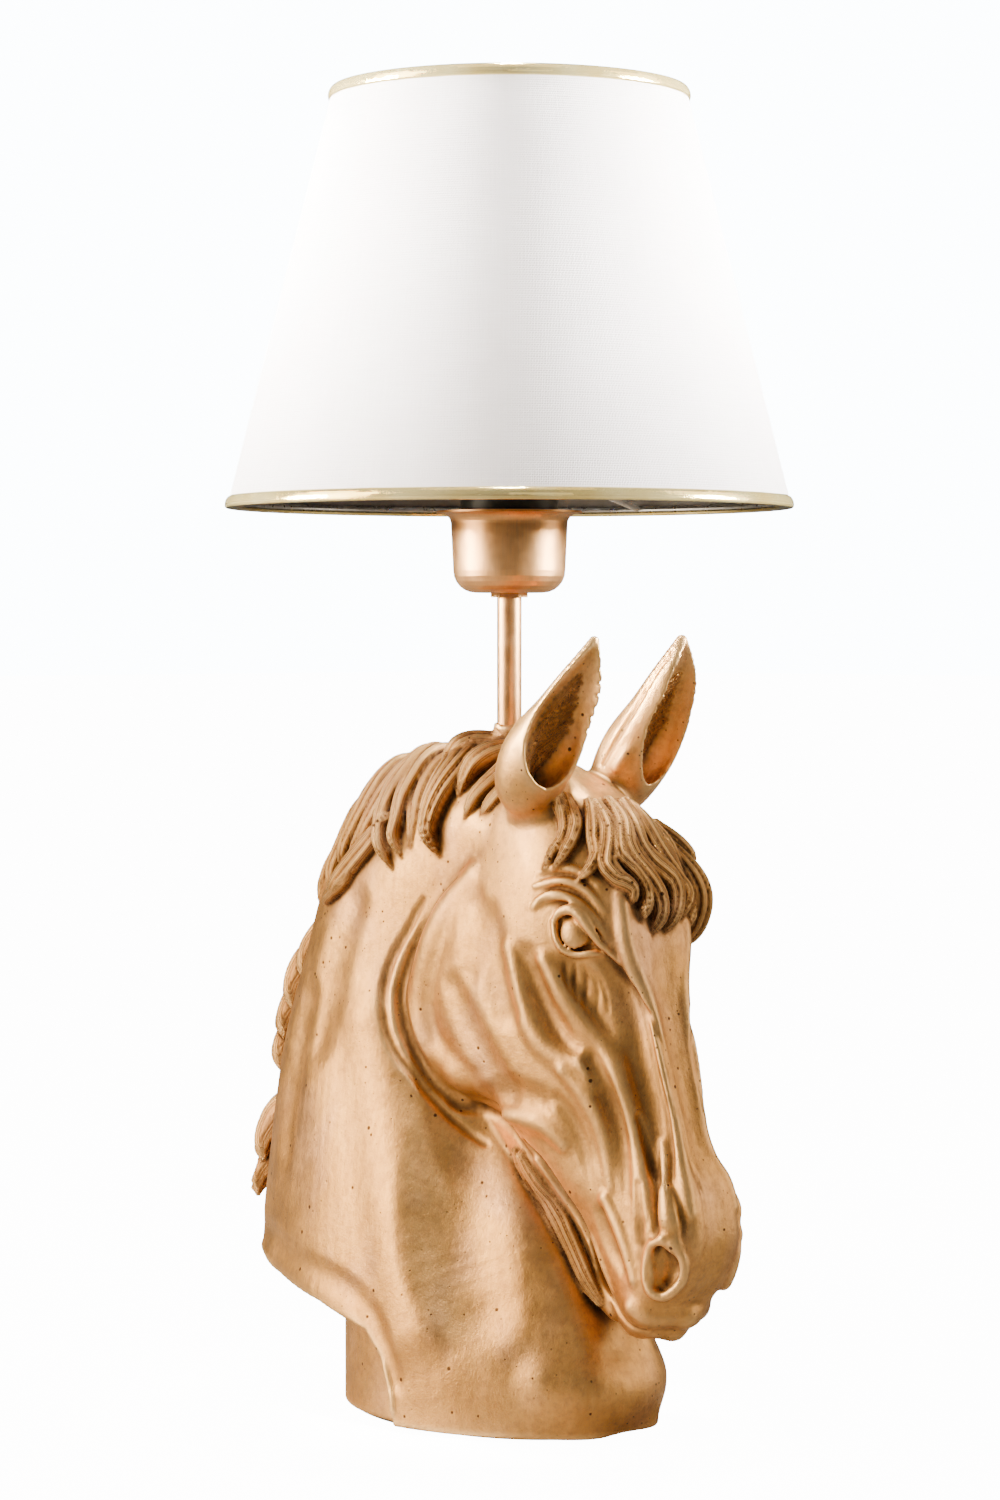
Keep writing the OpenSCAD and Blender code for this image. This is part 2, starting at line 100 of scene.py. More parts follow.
class Clay:
    """A solid held as distances on a grid, in millimetres: below zero is inside."""

    def __init__(self, low, high, step):
        self.low, self.step = np.array(low, float), step
        self.n = np.ceil((np.array(high) - self.low) / step).astype(int) + 1
        self.d = np.full(self.n, FAR, np.float32)
        self.strand = np.zeros(self.n, np.float32)
        self.hair = np.zeros(self.n, np.float32)

    def box(self, low, high):
        a = np.clip(np.floor((np.array(low) - self.low) / self.step).astype(int), 0, self.n - 1)
        b = np.clip(np.ceil((np.array(high) - self.low) / self.step).astype(int) + 1, a + 1, self.n)
        return a, b

    def coords(self, a, b):
        axes = [(self.low[k] + self.step * np.arange(a[k], b[k])).astype(np.float32) for k in range(3)]
        return np.meshgrid(*axes, indexing="ij", sparse=True)

    def window(self, low, high):
        """The slices of a box, and the coordinates in it."""
        a, b = self.box(low, high)
        return (tuple(slice(u, v) for u, v in zip(a, b)), *self.coords(a, b))

    def from_mesh(self, points, tris):
        """Distances to a closed mesh, on this grid."""
        grid = openvdb.FloatGrid.createLevelSetFromPolygons(
            np.ascontiguousarray((points - self.low) / self.step, np.float32),
            triangles=np.ascontiguousarray(tris, np.uint32),
            transform=openvdb.createLinearTransform(1.0),
            halfWidth=FAR / self.step,
        )
        out = np.zeros(self.n, np.float32)
        grid.copyToArray(out)
        return out * self.step

    def sample(self, field, p):
        """The value of a field at points, between its cells."""
        q = (np.asarray(p, float) - self.low) / self.step
        q = np.clip(q, 0, self.n - 1.001)
        i = q.astype(int)
        f = q - i
        v = 0.0
        for corner in np.ndindex(2, 2, 2):
            w = [f[..., k] if corner[k] else 1 - f[..., k] for k in range(3)]
            v = v + w[0] * w[1] * w[2] * field[tuple(i[..., k] + corner[k] for k in range(3))]
        return v

    def normal(self, field, p):
        e = 2.0
        g = [self.sample(field, p + e * v) - self.sample(field, p - e * v) for v in np.eye(3)]
        g = np.stack(g, -1)
        return g / np.maximum(np.linalg.norm(g, axis=-1, keepdims=True), 1e-6)

    def snap(self, field, p, height=0.0):
        """Points moved onto the field's surface, then out by height, and their normals."""
        p = np.array(p, float)
        for _ in range(5):
            p = p - self.normal(field, p) * self.sample(field, p)[..., None]
        n = self.normal(field, p)
        return p + n * np.asarray(height, float).reshape(-1, 1), n

    def chain(self, p, r, pad, ups=None, thick=None):
        """Distance to a chain of tapered round or flat segments, in the box that holds it."""
        reach = (r.max() if thick is None else max(r.max(), thick.max())) + pad
        a, b = self.box(p.min(0) - reach, p.max(0) + reach)
        t = np.full(b - a, FAR, np.float32)
        across = np.zeros(b - a, np.float32)
        run = np.concatenate([[0], np.cumsum(np.linalg.norm(np.diff(p, axis=0), axis=1))])
        for i in range(len(p) - 1):
            q0, q1 = p[i], p[i + 1]
            rr = max(r[i], r[i + 1]) + pad
            c, d = self.box(np.minimum(q0, q1) - rr, np.maximum(q0, q1) + rr)
            c, d = np.maximum(c, a), np.minimum(d, b)
            if np.any(d <= c):
                continue
            s = tuple(slice(u, v) for u, v in zip(c - a, d - a))
            x, y, z = self.coords(c, d)
            v = q1 - q0
            w2 = max(v @ v, 1e-9)
            f = np.clip(((x - q0[0]) * v[0] + (y - q0[1]) * v[1] + (z - q0[2]) * v[2]) / w2, 0, 1)
            px, py, pz = x - (q0[0] + f * v[0]), y - (q0[1] + f * v[1]), z - (q0[2] + f * v[2])
            rad = r[i] + f * (r[i + 1] - r[i])
            if ups is None:
                dist = np.sqrt(px * px + py * py + pz * pz) - rad
                t[s] = np.minimum(t[s], dist)
                continue
            along = v / math.sqrt(w2)
            up = ups[i] - along * (ups[i] @ along)
            up /= np.linalg.norm(up)
            side = np.cross(along, up)
            u1 = px * side[0] + py * side[1] + pz * side[2]
            u2 = px * up[0] + py * up[1] + pz * up[2]
            u3 = px * along[0] + py * along[1] + pz * along[2]
            th = thick[i] + f * (thick[i + 1] - thick[i])
            q = np.sqrt((u1 / rad) ** 2 + (u2 / th) ** 2 + (u3 / th) ** 2)
            dist = (q - 1) * np.minimum(rad, th)
            near = dist < t[s]
            t[s] = np.where(near, dist, t[s])
            across[s] = np.where(near, u1 / rad, across[s])
        return tuple(slice(u, v) for u, v in zip(a, b)), t, across

    def add(self, s, t, k):
        self.d[s] = smooth_min(self.d[s], t, k)

    def cut(self, s, t, k):
        self.d[s] = -smooth_min(-self.d[s], t, k)

    def stroke(self, points, r, height, k, mirrored=True, base=None, snap=True):
        """Adds (k above zero) or cuts (k below zero) a round stroke on the surface, k soft at its edge."""
        for side in (1, -1) if mirrored else (1,):
            q = catmull(np.array(points, float) * (side, 1, 1), 2 * len(points) - 1)
            m = 3 * (len(q) - 1) + 1
            if snap:
                q, _ = self.snap(self.d if base is None else base, q, spread(height, m)[::3])
            s, t, _ = self.chain(catmull(q, m), spread(r, m), abs(k) + 1)
            (self.add if k > 0 else self.cut)(s, t, abs(k))

    def lock(
        self, points, w, th, base, height=0.0, ribs=3, groove=1.2, k=0.7, wave=0.0, phase=0.0, free=None
    ):
        """A lock of hair on the base surface, ribbed along its length, and recorded as hair."""
        m = 8 * (len(points) - 1) + 1
        ww, tt = np.maximum(spread(w, m), 0.9), np.maximum(spread(th, m), 0.8)
        q, nrm = self.snap(base, catmull(points, 2 * len(points) - 1), spread(height, m)[::4])
        if free is not None:
            q = catmull(points, len(q))
            nrm = np.repeat(np.array(free, float)[None], len(q), 0)
        p, nrm = catmull(q, m), catmull(nrm, m)
        if wave:
            t = np.gradient(p, axis=0)
            t /= np.maximum(np.linalg.norm(t, axis=1, keepdims=True), 1e-6)
            p = p + np.cross(t, nrm) * (wave * np.sin(np.linspace(0, 1, m) * 2 * math.pi + phase))[:, None]
        s, t, across = self.chain(p, ww, k + 1.5, nrm, tt)
        lines = np.abs(np.sin(0.5 * math.pi * ribs * (across + 1)))
        t = t + groove * (1 - lines) ** 1.5
        won = (t < self.d[s] + 0.3) & (t < 2.5)
        self.strand[s] = np.where(won, 6 * across, self.strand[s])
        self.hair[s] = np.where(won, 1.0, self.hair[s])
        self.d[s] = smooth_min(self.d[s], t, k)

    def strokes(self, table, **how):
        for row in table:
            self.stroke(*row, **how)


# ---------------------------------------------------------------- the bust: stations of the neck and the head
NECK = (
    (-34, 214, -26, 264, 10, 18, 19, 10),
    (-26, 206, 0, 267, 13, 22, 24, 11),
    (-16, 196, 31, 268, 13, 23, 25, 13),
    (-6, 180, 64, 257, 14, 25, 28, 15),
    (2, 158, 93, 226, 15, 28, 32, 17),
    (0, 133, 108, 184, 16, 32, 37, 20),
    (-17, 108, 120, 145, 19, 38, 43, 23),
    (-40, 80, 128, 101, 22, 45, 49, 25),
    (-57, 50, 132, 62, 23, 49, 54, 27),
    (-65, 24, 127, 30, 24, 52, 56, 28),
    (-64, 0, 114, 0, 24, 52, 55, 28),
    (-63, -24, 100, -30, 24, 52, 55, 28),
)
HEAD = (
    (-33, 265, -14, 262, 6, 10, 10, 5),
    (-55, 253, 4, 248, 11, 22, 23, 12),
    (-71, 234, 22, 226, 16, 30, 28, 15),
    (-81, 206, 42, 200, 19, 34, 33, 20),
    (-86, 178, 42, 167, 14, 31, 34, 21),
    (-93, 150, 18, 131, 12, 27, 31, 18),
    (-99.5, 127, -15, 103, 8.5, 20, 24, 14),
    (-103.5, 115, -28, 93, 9.5, 19, 21.5, 12),
    (-110, 103, -40, 82, 13, 19, 19, 10),
    (-113, 85, -54, 64, 14, 20, 18, 9),
    (-110, 71, -62, 54, 13, 20, 18, 9),
    (-103, 60, -67, 48, 10, 18, 17, 9),
    (-97, 51, -72, 43, 6, 14, 14, 8),
    (-89, 45, -77, 41, 3, 8, 8, 4),
    (-85, 44, -80, 42, 1, 3, 3, 2),
)
# what is cut from under the back of the neck, as y and z
HEM = ((9, -9), (11, 14), (16, 28), (26, 38), (55, 46), (90, 51), (118, 55), (170, 61), (170, -9))


def ears(c):
    for side, turn, shift, narrow in ((-1, -0.50, 0, 1), (1, -0.12, 1.4, 0.88)):
        axis = np.array([(24, -36, 253), (27, -38, 260), (28, -45.5, 271), (28, -57, 285), (27, -66, 299),
            (25, -71.5, 315)], float)
        axis[:, 0] *= side
        m = 30
        p = catmull(axis, m)
        w = spread([10, 13.6, 15, 12, 8.6, 2] if side < 0 else [10, 13.6, 15.4, 13.8, 10.6, 2.4], m)
        th = spread([10, 13.2, 14, 10.4, 6.9, 1.8] if side < 0 else [10, 13.2, 14.2, 12.2, 9.2, 2.2], m)
        facing = np.array([turn, -1, 0.05])
        facing /= np.linalg.norm(facing)
        left = np.cross(facing, (0, 0, 1))
        s, t, _ = c.chain(p, w, 6, np.repeat(facing[None], m, 0), th)
        # the opening, a shallow bowl that leaves a thin rim
        q = catmull([(27, -43, 262), (28, -48, 270), (28, -54, 279), (28, -61, 290), (27, -68, 301),
            (25.2, -72.5, 313)], m) * (side, 1, 1)
        q = q + facing * catmull([4, 7, 8.4, 7.4, 5, 1.6], m) - left * shift
        wi = narrow * spread([4.5, 10.6, 12.6, 10.2, 6.8, 0.9] if side < 0 else [4.5, 10.6, 13, 12, 9, 1.3], m)
        ti = spread([6, 11, 13, 11.2, 7.6, 1.2], m)
        s2, t2, _ = c.chain(q, wi, 6, np.repeat(facing[None], m, 0), ti)
        c.add(s, t, 6)
        c.cut(s2, t2, 1)
        if side > 0:
            c.stroke([(13, -40, 265), (14, -48, 276), (15, -58, 291), (17.6, -66, 304), (20, -71, 311)],
                [0.9, 1.3, 1.3, 1.1, 0.7], 0.2, -0.9, mirrored=False)
            c.stroke([(15, -46, 264), (17, -54, 277), (18, -62, 291), (20, -69, 303), (22, -72, 310)],
                [1.6, 2.2, 2.2, 1.8, 1], -0.6, 1.4, mirrored=False)
        # hair in the opening, and a ragged free edge
        rng = np.random.default_rng(3)
        base = c.d.copy()
        for i in range(10):
            f = i / 9
            mid = np.array([28 * side, np.interp(f, [0, 1], [-44, -58]), np.interp(f, [0, 1],
                [262, 290])]) - left * shift
            wide = np.interp(f, [0, 0.35, 1], [3, 6.5, 3.5]) * rng.uniform(0.8, 1.1) * narrow
            g = np.array([mid + left * wide - (0, -3, 5), mid + left * wide * 0.3 + (0, -1, 2),
                mid - left * wide * 0.8 + (0, -6, 11)])
            c.lock(g, [0.8, 1.9, 0.7], [0.8, 1.4, 0.8], base, height=0, ribs=2, groove=0.6, k=0.8)
        for i in range(11):
            f = (i + 0.5) / 11
            e = catmull([(28, -60, 260), (22, -61, 268), (19, -62, 280), (20, -68, 293), (23, -72, 305)],
                40)[int(f * 39)] * (side, 1, 1)
            c.stroke([e + (-2, -2, rng.uniform(-1, 0)), e, e + (2, 1, rng.uniform(0, 1))], rng.uniform(0.5, 0.9),
                0.4, -0.5, mirrored=False)


FACE = (
    # planes of the nose: a flat front with an edge, and a long hollow beside it
    ([(-21, -76, 191), (-19, -80, 179), (-17, -84, 165), (-17, -88, 150), (-17, -93, 132), (-18, -97, 114)],
        [5, 7, 7.5, 7, 6, 4], [3.4, 3.6, 3.6, 3.6, 3.2, 2.8], -4),
    ([(-17, -79, 218), (-17, -80, 202), (-15, -83, 187), (-12, -89, 173), (-11, -92, 158), (-11, -98, 141),
        (-12, -103, 124), (-13, -108, 108), (-14, -112, 96)], [2.5, 3.2, 3.4, 3.2, 3, 3, 3, 3, 2.5],
        [-1.2, -1, -0.9, -0.9, -0.9, -0.9, -1.1, -1.2, -1.4], 2),
    ([(-24, -73, 197), (-21, -76, 191), (-18, -79, 183), (-15, -84, 174), (-14, -87, 165), (-13, -91, 150),
        (-14, -96, 132), (-15, -100, 116), (-16, -103, 102)], [0.8, 1.3, 1.6, 1.8, 1.9, 1.9, 1.8, 1.6, 1.1],
        [1, 0.8, 0.5, 0.3, 0.3, 0.3, 0.3, 0.3, 0.3], -1.3),
    ([(-12, -83, 181), (-9, -89, 165), (-8, -94, 148), (-8, -99, 132)], [0.8, 1.3, 1.2, 0.8], 0.5, -1.5),
    # hollows under the eye and in front of the cheek, with the crest between them
    ([(-27, -61, 188), (-25, -66, 178), (-23, -71, 167), (-22, -75, 155)], [6, 9, 9, 6], [5, 6.6, 6.6, 5], -5),
    ([(-34, -43, 191), (-32, -46, 180), (-31, -50, 170), (-29, -55, 161), (-27, -60, 155)], [5, 8.5, 9, 8.5, 5],
        [4, 5.9, 5.9, 5.9, 4], -4.5),
    ([(-32, -51, 190), (-30, -57, 180), (-27, -63, 172), (-24, -71, 162), (-22, -77, 152), (-21, -83, 138),
        (-20, -87, 123), (-20, -90, 108), (-21, -91, 94)], [3, 4.5, 4.5, 4.5, 4.5, 4, 4, 4, 3],
        [-1.5, -2, -1.9, -1.9, -2, -2, -2, -2, -1.8], 3),
    ([(-35, -32, 194), (-34, -37, 180), (-32, -43, 168), (-31, -49, 159), (-29, -57, 153), (-26, -66, 149),
        (-24, -72, 141)], [4, 6, 6, 6, 5, 4.5, 3], [-2.2, -3.4, -3.4, -3.2, -2.6, -2.4, -1.8], 3),
    ([(-35, -22, 206), (-35, -28, 193), (-35, -31, 182), (-34, -33, 170)], [6, 9, 9, 6], [5, 7.2, 7.2, 5], -6),
    ([(-35, -12, 212), (-36, -14, 198), (-36, -12, 184)], [6, 10, 6], [5.2, 8.6, 5.2], -6),
    ([(-34, -2, 176), (-34, -8, 165), (-33, -14, 156), (-32, -21, 147), (-31, -29, 139)], [6, 9, 9, 9, 6],
        [5, 7.2, 7.2, 7.2, 5], -6),
    # raised round edge of the cheek, then the two creases behind it
    ([(-28, -6, 222), (-28, 5, 210), (-28, 13, 197), (-27, 19, 184), (-26, 23, 170), (-25, 21, 156), (-25, 12, 145),
        (-25, 0, 137), (-27, -14, 131), (-27, -26, 127)], [4, 6, 7, 7, 7, 7, 7, 7, 6, 4],
        [-3, -3.2, -3.2, -3.2, -3.2, -3.2, -3.2, -3.4, -3.2, -2.6], 5),
    ([(-27, 1, 219), (-27, 11, 211), (-28, 17, 203), (-28, 25, 193), (-27, 31, 181), (-26, 34, 168), (-25, 33, 155),
        (-24, 28, 144), (-24, 19, 135), (-23, 5, 127), (-24, -12, 121), (-24, -24, 116), (-23, -33, 110)],
        [1.2, 1.9, 2.4, 2.6, 2.8, 2.8, 2.8, 2.8, 2.8, 2.6, 2.4, 2.1, 1.7], 0.6, -1.6),
    ([(-27, 22, 210), (-28, 30, 197), (-29, 38, 184), (-29, 41, 171), (-29, 40, 157), (-28, 34, 143),
        (-27, 22, 130), (-24, 7, 121), (-20, -6, 113)], [1, 1.7, 2, 2, 2, 2, 2, 1.7, 1.2], 0.5, -1.6),
    ([(-27, -15, 133), (-29, -27, 134), (-30, -36, 136), (-29, -47, 135)], [4, 7, 7, 4], [3, 5.2, 5.2, 3.2], -5),
    ([(-28, -25, 126), (-27, -37, 126), (-25, -47, 124), (-23, -54, 118)], [3, 4.5, 4.5, 3],
        [-1.8, -2.6, -2.6, -1.8], 3),
    # muscles that run down to the muzzle
    ([(-28, -58, 147), (-26, -66, 139), (-24, -71, 130), (-23, -74, 119), (-22, -76, 102)], [3, 4.5, 4.5, 3.4, 1.2],
        [-1.6, -2.2, -2.2, -1.8, -1.4], 3),
    ([(-25, -69, 152), (-24, -74, 143), (-22, -78, 132), (-21, -81, 120), (-21, -84, 99)], [2.5, 4, 4, 3.2, 1],
        [1.4, 2.2, 2.2, 2, 1.8], -2.6),
    ([(-26, -54, 136), (-25, -60, 127), (-23, -64, 116), (-22, -67, 103)], [2.5, 4, 3.2, 1], [1.5, 2.4, 2.2, 1.8],
        -2.8),
    ([(-20, -73, 98), (-20, -79, 88), (-20, -84, 78), (-19, -88, 68)], [2.6, 3.6, 3.4, 2.5], [-1, -1.5, -1.5, -1.2],
        2.4),
    ([(-19, -70, 92), (-19, -73, 84), (-18, -77, 77), (-18, -81, 71)], [2.2, 4, 4.2, 2.2], [1.2, 2.4, 2.4, 1.2],
        -2.6),
)


def muzzle(c):
    c.stroke([(-16, -86, 57), (-14, -94, 52), (-8, -98, 51), (0, -99, 51)], [4, 5, 5.5, 5.5],
        [-2.2, -3, -3.4, -3.5], 3)
    # nostril: a swelling, a deep comma-shaped hole and a rolled rim
    c.stroke([(-18, -101, 83), (-18.5, -103, 74), (-18, -102, 66)], [5, 7.5, 5], [-3.4, -5.4, -3.6], 3)
    base = c.d.copy()
    c.stroke([(-18.5, -101, 80), (-18, -103, 73), (-18.5, -102, 66)], [4.4, 6.2, 4.6], 0.8, -1.2, base=base)
    c.stroke([(-18, -104, 79), (-17.5, -106, 74), (-18, -105, 68)], [2.6, 4, 3], -2.4, -1.6, base=base)
    c.stroke([(-18, -104, 80), (-18, -105, 73), (-18, -104, 66)], [1.4, 2.4, 1.6], -3.8, -0.8, base=base)
    ring = [(-20, -95, 74), (-20, -96, 79), (-19.5, -99, 83), (-18, -104, 84), (-16, -108, 81), (-15, -110, 75),
        (-15, -109, 68), (-17, -105, 63), (-18, -101, 62), (-20, -97, 64), (-20, -95, 69), (-20, -95, 74)]
    c.stroke(ring, [1.5, 1.5, 1.7, 1.8, 1.7, 1.7, 1.8, 1.9, 1.9, 1.7, 1.5, 1.5], 0.1, 1.6, base=base)
    c.stroke([(-22, -91, 76), (-21, -92, 82), (-20, -97, 87)], [0.8, 1.2, 0.7], 0.6, -1)
    # folds above the nostril
    c.stroke([(-18, -103, 85), (-18, -104, 91), (-18, -102, 101), (-17, -99, 112), (-17, -97, 122)],
        [1.8, 2.5, 2.5, 2.2, 1.4], -0.5, 1.6)
    c.stroke([(-20, -99, 86), (-20, -99, 94), (-19.5, -97, 106), (-18, -95, 120), (-18, -92, 132)],
        [1.6, 2.4, 2.4, 2, 1.2], 0.4, -1.5)
    c.stroke([(-18, -108, 85), (-19, -107, 94), (-19, -104, 104)], [3, 4.5, 2.4], [-1.2, -1.2, -1.6], 3)
    c.stroke([(-16, -109, 85), (-15, -109, 92), (-15, -106, 103)], [0.8, 1.8, 0.6], [1.2, 0.6, 1.4], -1.4)
    c.stroke([(-7, -88, 47), (0, -90, 47)], [5, 5.5], [-3.2, -3.4], 3)
    c.stroke([(-22, -91, 83), (-22, -91, 93), (-21, -90, 105)], [1.8, 2.6, 1.6], 1, -1.8)
    # lower jaw, mouth and lips
    c.stroke([(-7, -22, 110), (-7, -32, 98), (-7, -41, 85), (-6, -49, 73), (-6, -57, 61), (-6, -67, 52)],
        [5, 6.5, 7, 7, 6.5, 5], 0, 2, snap=False)
    base = c.d.copy()
    for side in (1, -1):
        f = lambda *p: [(side * x, y, z) for x, y, z in p]
        c.lock(f((-19, -27, 110), (-17, -33, 99), (-15, -41, 87), (-14, -48, 75), (-12, -55, 64), (-11, -63, 55)),
            [4, 6.2, 6.2, 5.6, 5, 2.5], [2.5, 3.2, 3.2, 3, 2.8, 1.5], base, height=[0.6, 0.6, 0.4, 0.2, 0.2, 0],
            ribs=4, groove=1.1, k=1, wave=0.5, phase=1)
        c.lock(f((-17, -22, 112), (-14, -27, 101), (-12, -34, 90), (-10, -40, 80)), [2, 4, 4, 1.5],
            [1.5, 2.6, 2.6, 1.2], base, height=0.8, ribs=3, groove=1, k=1, wave=0.7)
    c.stroke([(-23, -31, 116), (-22, -39, 110), (-20, -45, 102), (-18, -50, 94), (-17, -55, 86), (-16, -58, 80)],
        [1.4, 2.2, 2.4, 2.4, 2.2, 2], 0, -1.2)
    c.stroke([(-17, -58, 80), (-17, -60, 75), (-16, -62, 69), (-15, -65, 62), (-15, -69, 57), (-15, -75, 53),
        (-15, -81, 50), (-13, -88, 48)], [1.6, 2.3, 2.7, 2.6, 2, 1.5, 1.2, 0.9],
        [0, -0.9, -1.6, -1.4, -0.8, -0.2, 0.2, 0.4], -1)
    c.stroke([(-18, -61, 80), (-18, -64, 73), (-17, -67, 66), (-17, -71, 60)], [1, 1.5, 1.5, 1], -0.6, 1.2)
    c.stroke([(-6, -97, 150), (-6, -102, 130), (-6, -108, 110), (-6, -112, 92), (-7, -112, 78)], 0.8, 0.45, -0.8,
        mirrored=False)


LIDS = (
    # upper lid, lower lid and the tear duct, each with the dark line beside it
    ([(-32, -56, 205), (-31, -58.5, 209), (-29, -63, 210.5), (-28, -67, 208.5), (-27, -70, 204.5),
        (-25, -73, 199.5), (-23, -76, 194), (-21, -78, 188)], [1, 1.8, 2.3, 2.5, 2.3, 2, 1.5, 0.8],
        [0, 1, 1.7, 1.8, 1.5, 0.8, 0.3, 0], 0.8),
    ([(-32, -56, 206), (-32, -57, 200), (-31, -59.5, 195), (-29, -63.5, 192.5), (-27, -67.5, 193),
        (-25, -71, 193.5), (-23, -75, 192)], [1, 1.3, 1.5, 1.6, 1.5, 1.3, 0.8], [0, 0.3, 0.4, 0.3, 0.1, 0, -0.2],
        0.8),
    ([(-31, -58.5, 206), (-31, -59, 201), (-30, -61, 196.5), (-28, -64.5, 194.8), (-26.5, -68, 195.4),
        (-25, -71.5, 196), (-24, -74, 194.6)], [0.7, 0.9, 1.1, 1.2, 1.1, 0.9, 0.6],
        [-0.6, -0.7, -0.8, -0.8, -0.7, -0.3, 0], -0.6),
    # folds of the brow
    ([(-34, -47, 211), (-33, -51, 215), (-32, -56, 216), (-30, -62, 215), (-28, -68, 211), (-25, -73, 205),
        (-22, -76, 198)], [1.2, 2.4, 3, 3, 2.8, 2.3, 1.2], [-0.4, -0.5, -0.4, -0.5, -0.6, -0.8, -0.8], 1.4),
    ([(-34, -47, 219), (-32, -54, 221), (-30, -60, 221.5), (-28, -66, 220), (-26, -71, 216), (-23, -75, 210)],
        [1.2, 2.2, 2.6, 2.5, 2, 1], [-0.4, -0.8, -0.8, -0.9, -1, -0.8], 1.2),
    ([(-33, -49, 225), (-31, -55, 227), (-30, -61, 227), (-27, -67, 225), (-24, -73, 221)], [1, 2, 2.3, 2.1, 1],
        [-0.4, -0.8, -0.9, -0.9, -0.6], 1.2),
    ([(-33, -49, 222.6), (-31, -57, 224.2), (-29, -63, 224), (-26, -70, 220.6), (-24, -73, 216)],
        [0.6, 0.9, 0.9, 0.9, 0.5], 0.7, -0.8),
    ([(-34, -47, 215), (-32, -55, 218.5), (-30, -61, 218.4), (-27, -69, 214.5), (-24, -74, 207.5)],
        [0.6, 1, 1.1, 1, 0.6], 0.9, -0.8),
    ([(-33, -51, 210), (-32, -56, 212.6), (-30, -62, 212.3), (-28, -67, 209), (-26, -71, 204.5),
        (-23.5, -75, 198.5)], [0.6, 1, 1.1, 1, 0.8, 0.6], 1, -0.8),
)


def eyes(c):
    base = c.d.copy()
    for side in (-1, 1):
        # socket, then the ball
        p, n = c.snap(base, [(28.5 * side, -65, 201)])
        s, t, _ = c.chain(np.repeat(p + n * 3, 2, 0) + [[0, 0, -1], [0, 0, 1]], np.array([7.6, 7.6]), 5)
        c.cut(s, t, 2)
        ball = np.repeat(p - n * 4.3, 2, 0) + [[0.3 * side, 0.8, -0.6], [0.3 * side, 0.8, 0.6]]
        s, t, _ = c.chain(ball, np.array([7.2, 7.2]), 3)
        c.add(s, t, 0.5)
    c.strokes(LIDS, base=base)
    # wrinkles under the eye
    for k in range(5):
        fold = [(-30 + k * 1.2, -60 - 3 * k, 189 - k), (-29 + k, -61 - 3 * k, 184 - k),
            (-28.4 + k, -63 - 3 * k, 178 - 2 * k)]
        c.stroke(fold, [0.7, 1.2, 0.6], 0.5, -0.9, base=base)


def body(c):
    # neck: the long muscle, the hollow of the throat and the swell of the chest
    c.stroke([(-34, 44, 160), (-37, 35, 140), (-41, 27, 120), (-46, 20, 97), (-51, 11, 69), (-54, 0, 43)], 15,
        [-12, -12.8, -13.2, -13.4, -13.4, -13.7], 10)
    c.stroke([(-24, -2, 118), (-33, -6, 99), (-40, -12, 76), (-44, -24, 54)], [14, 22, 24, 16],
        [11.2, 17.4, 18.8, 12.8], -12)
    c.stroke([(-30, -50, 24), (-20, -57, 20), (0, -62, 18)], [9, 11, 12], [-7.5, -9.8, -11], 8)
    c.stroke([(-30, 60, 205), (-33, 68, 180), (-36, 72, 150)], [8, 14, 9], [7, 12.4, 8], -8)
    c.stroke([(-33, 88, 165), (-38, 92, 135), (-43, 95, 105)], [8, 12, 8], [7.2, 11, 7.2], -8)


def hem_and_base(c):
    # the cut under the back of the neck, the rolled hem beside it, then the pedestal
    pts = np.array(HEM, float)
    s, x, y, z = c.window((-80, -10, -10), (80, 180, 70))
    yy, zz = np.broadcast_arrays(y[0, :, :], z[0, :, :])
    dist = np.full(yy.shape, 1e9)
    inside = np.zeros(yy.shape, bool)
    for (y0, z0), (y1, z1) in zip(pts, np.roll(pts, -1, 0)):
        v = np.array([y1 - y0, z1 - z0])
        f = np.clip(((yy - y0) * v[0] + (zz - z0) * v[1]) / (v @ v), 0, 1)
        dist = np.minimum(dist, np.hypot(yy - y0 - f * v[0], zz - z0 - f * v[1]))
        cross = (z0 > zz) != (z1 > zz)
        inside ^= cross & (yy < (y1 - y0) * (zz - z0) / ((z1 - z0) if z1 != z0 else 1e-9) + y0)
    t = np.where(inside, -dist, dist)[None].astype(np.float32)
    c.cut(s, np.broadcast_to(t, c.d[s].shape), 1.5)
    c.stroke([(-25, 126, 58), (-32, 115, 57), (-40, 90, 53), (-47, 60, 49), (-52, 34, 43), (-54, 22, 35),
        (-56, 14, 22), (-57, 10, 8)], [1.4, 1.6, 1.7, 1.8, 2, 2, 1.8, 1.6], -0.8, 1.6)
    c.stroke([(-25, 122, 66), (-34, 108, 66), (-42, 85, 62), (-49, 58, 58), (-54, 34, 52), (-57, 18, 38),
        (-58, 8, 20)], [4, 6, 6, 6, 6, 6, 4], [3.4, 5.1, 5.1, 5.1, 5.1, 5.1, 3.6], -4)
    s, x, y, z = c.window((-80, -5, -10), (80, 100, 80))
    r = (np.sqrt((x / 50) ** 2 + ((y - 10) / 70) ** 2) - 1) * 50
    t = np.maximum(np.maximum(r, z - 64), np.maximum(-y, np.minimum(z - 42, 25 - y)))
    c.add(s, np.broadcast_to(t, c.d[s].shape).astype(np.float32), 0.8)


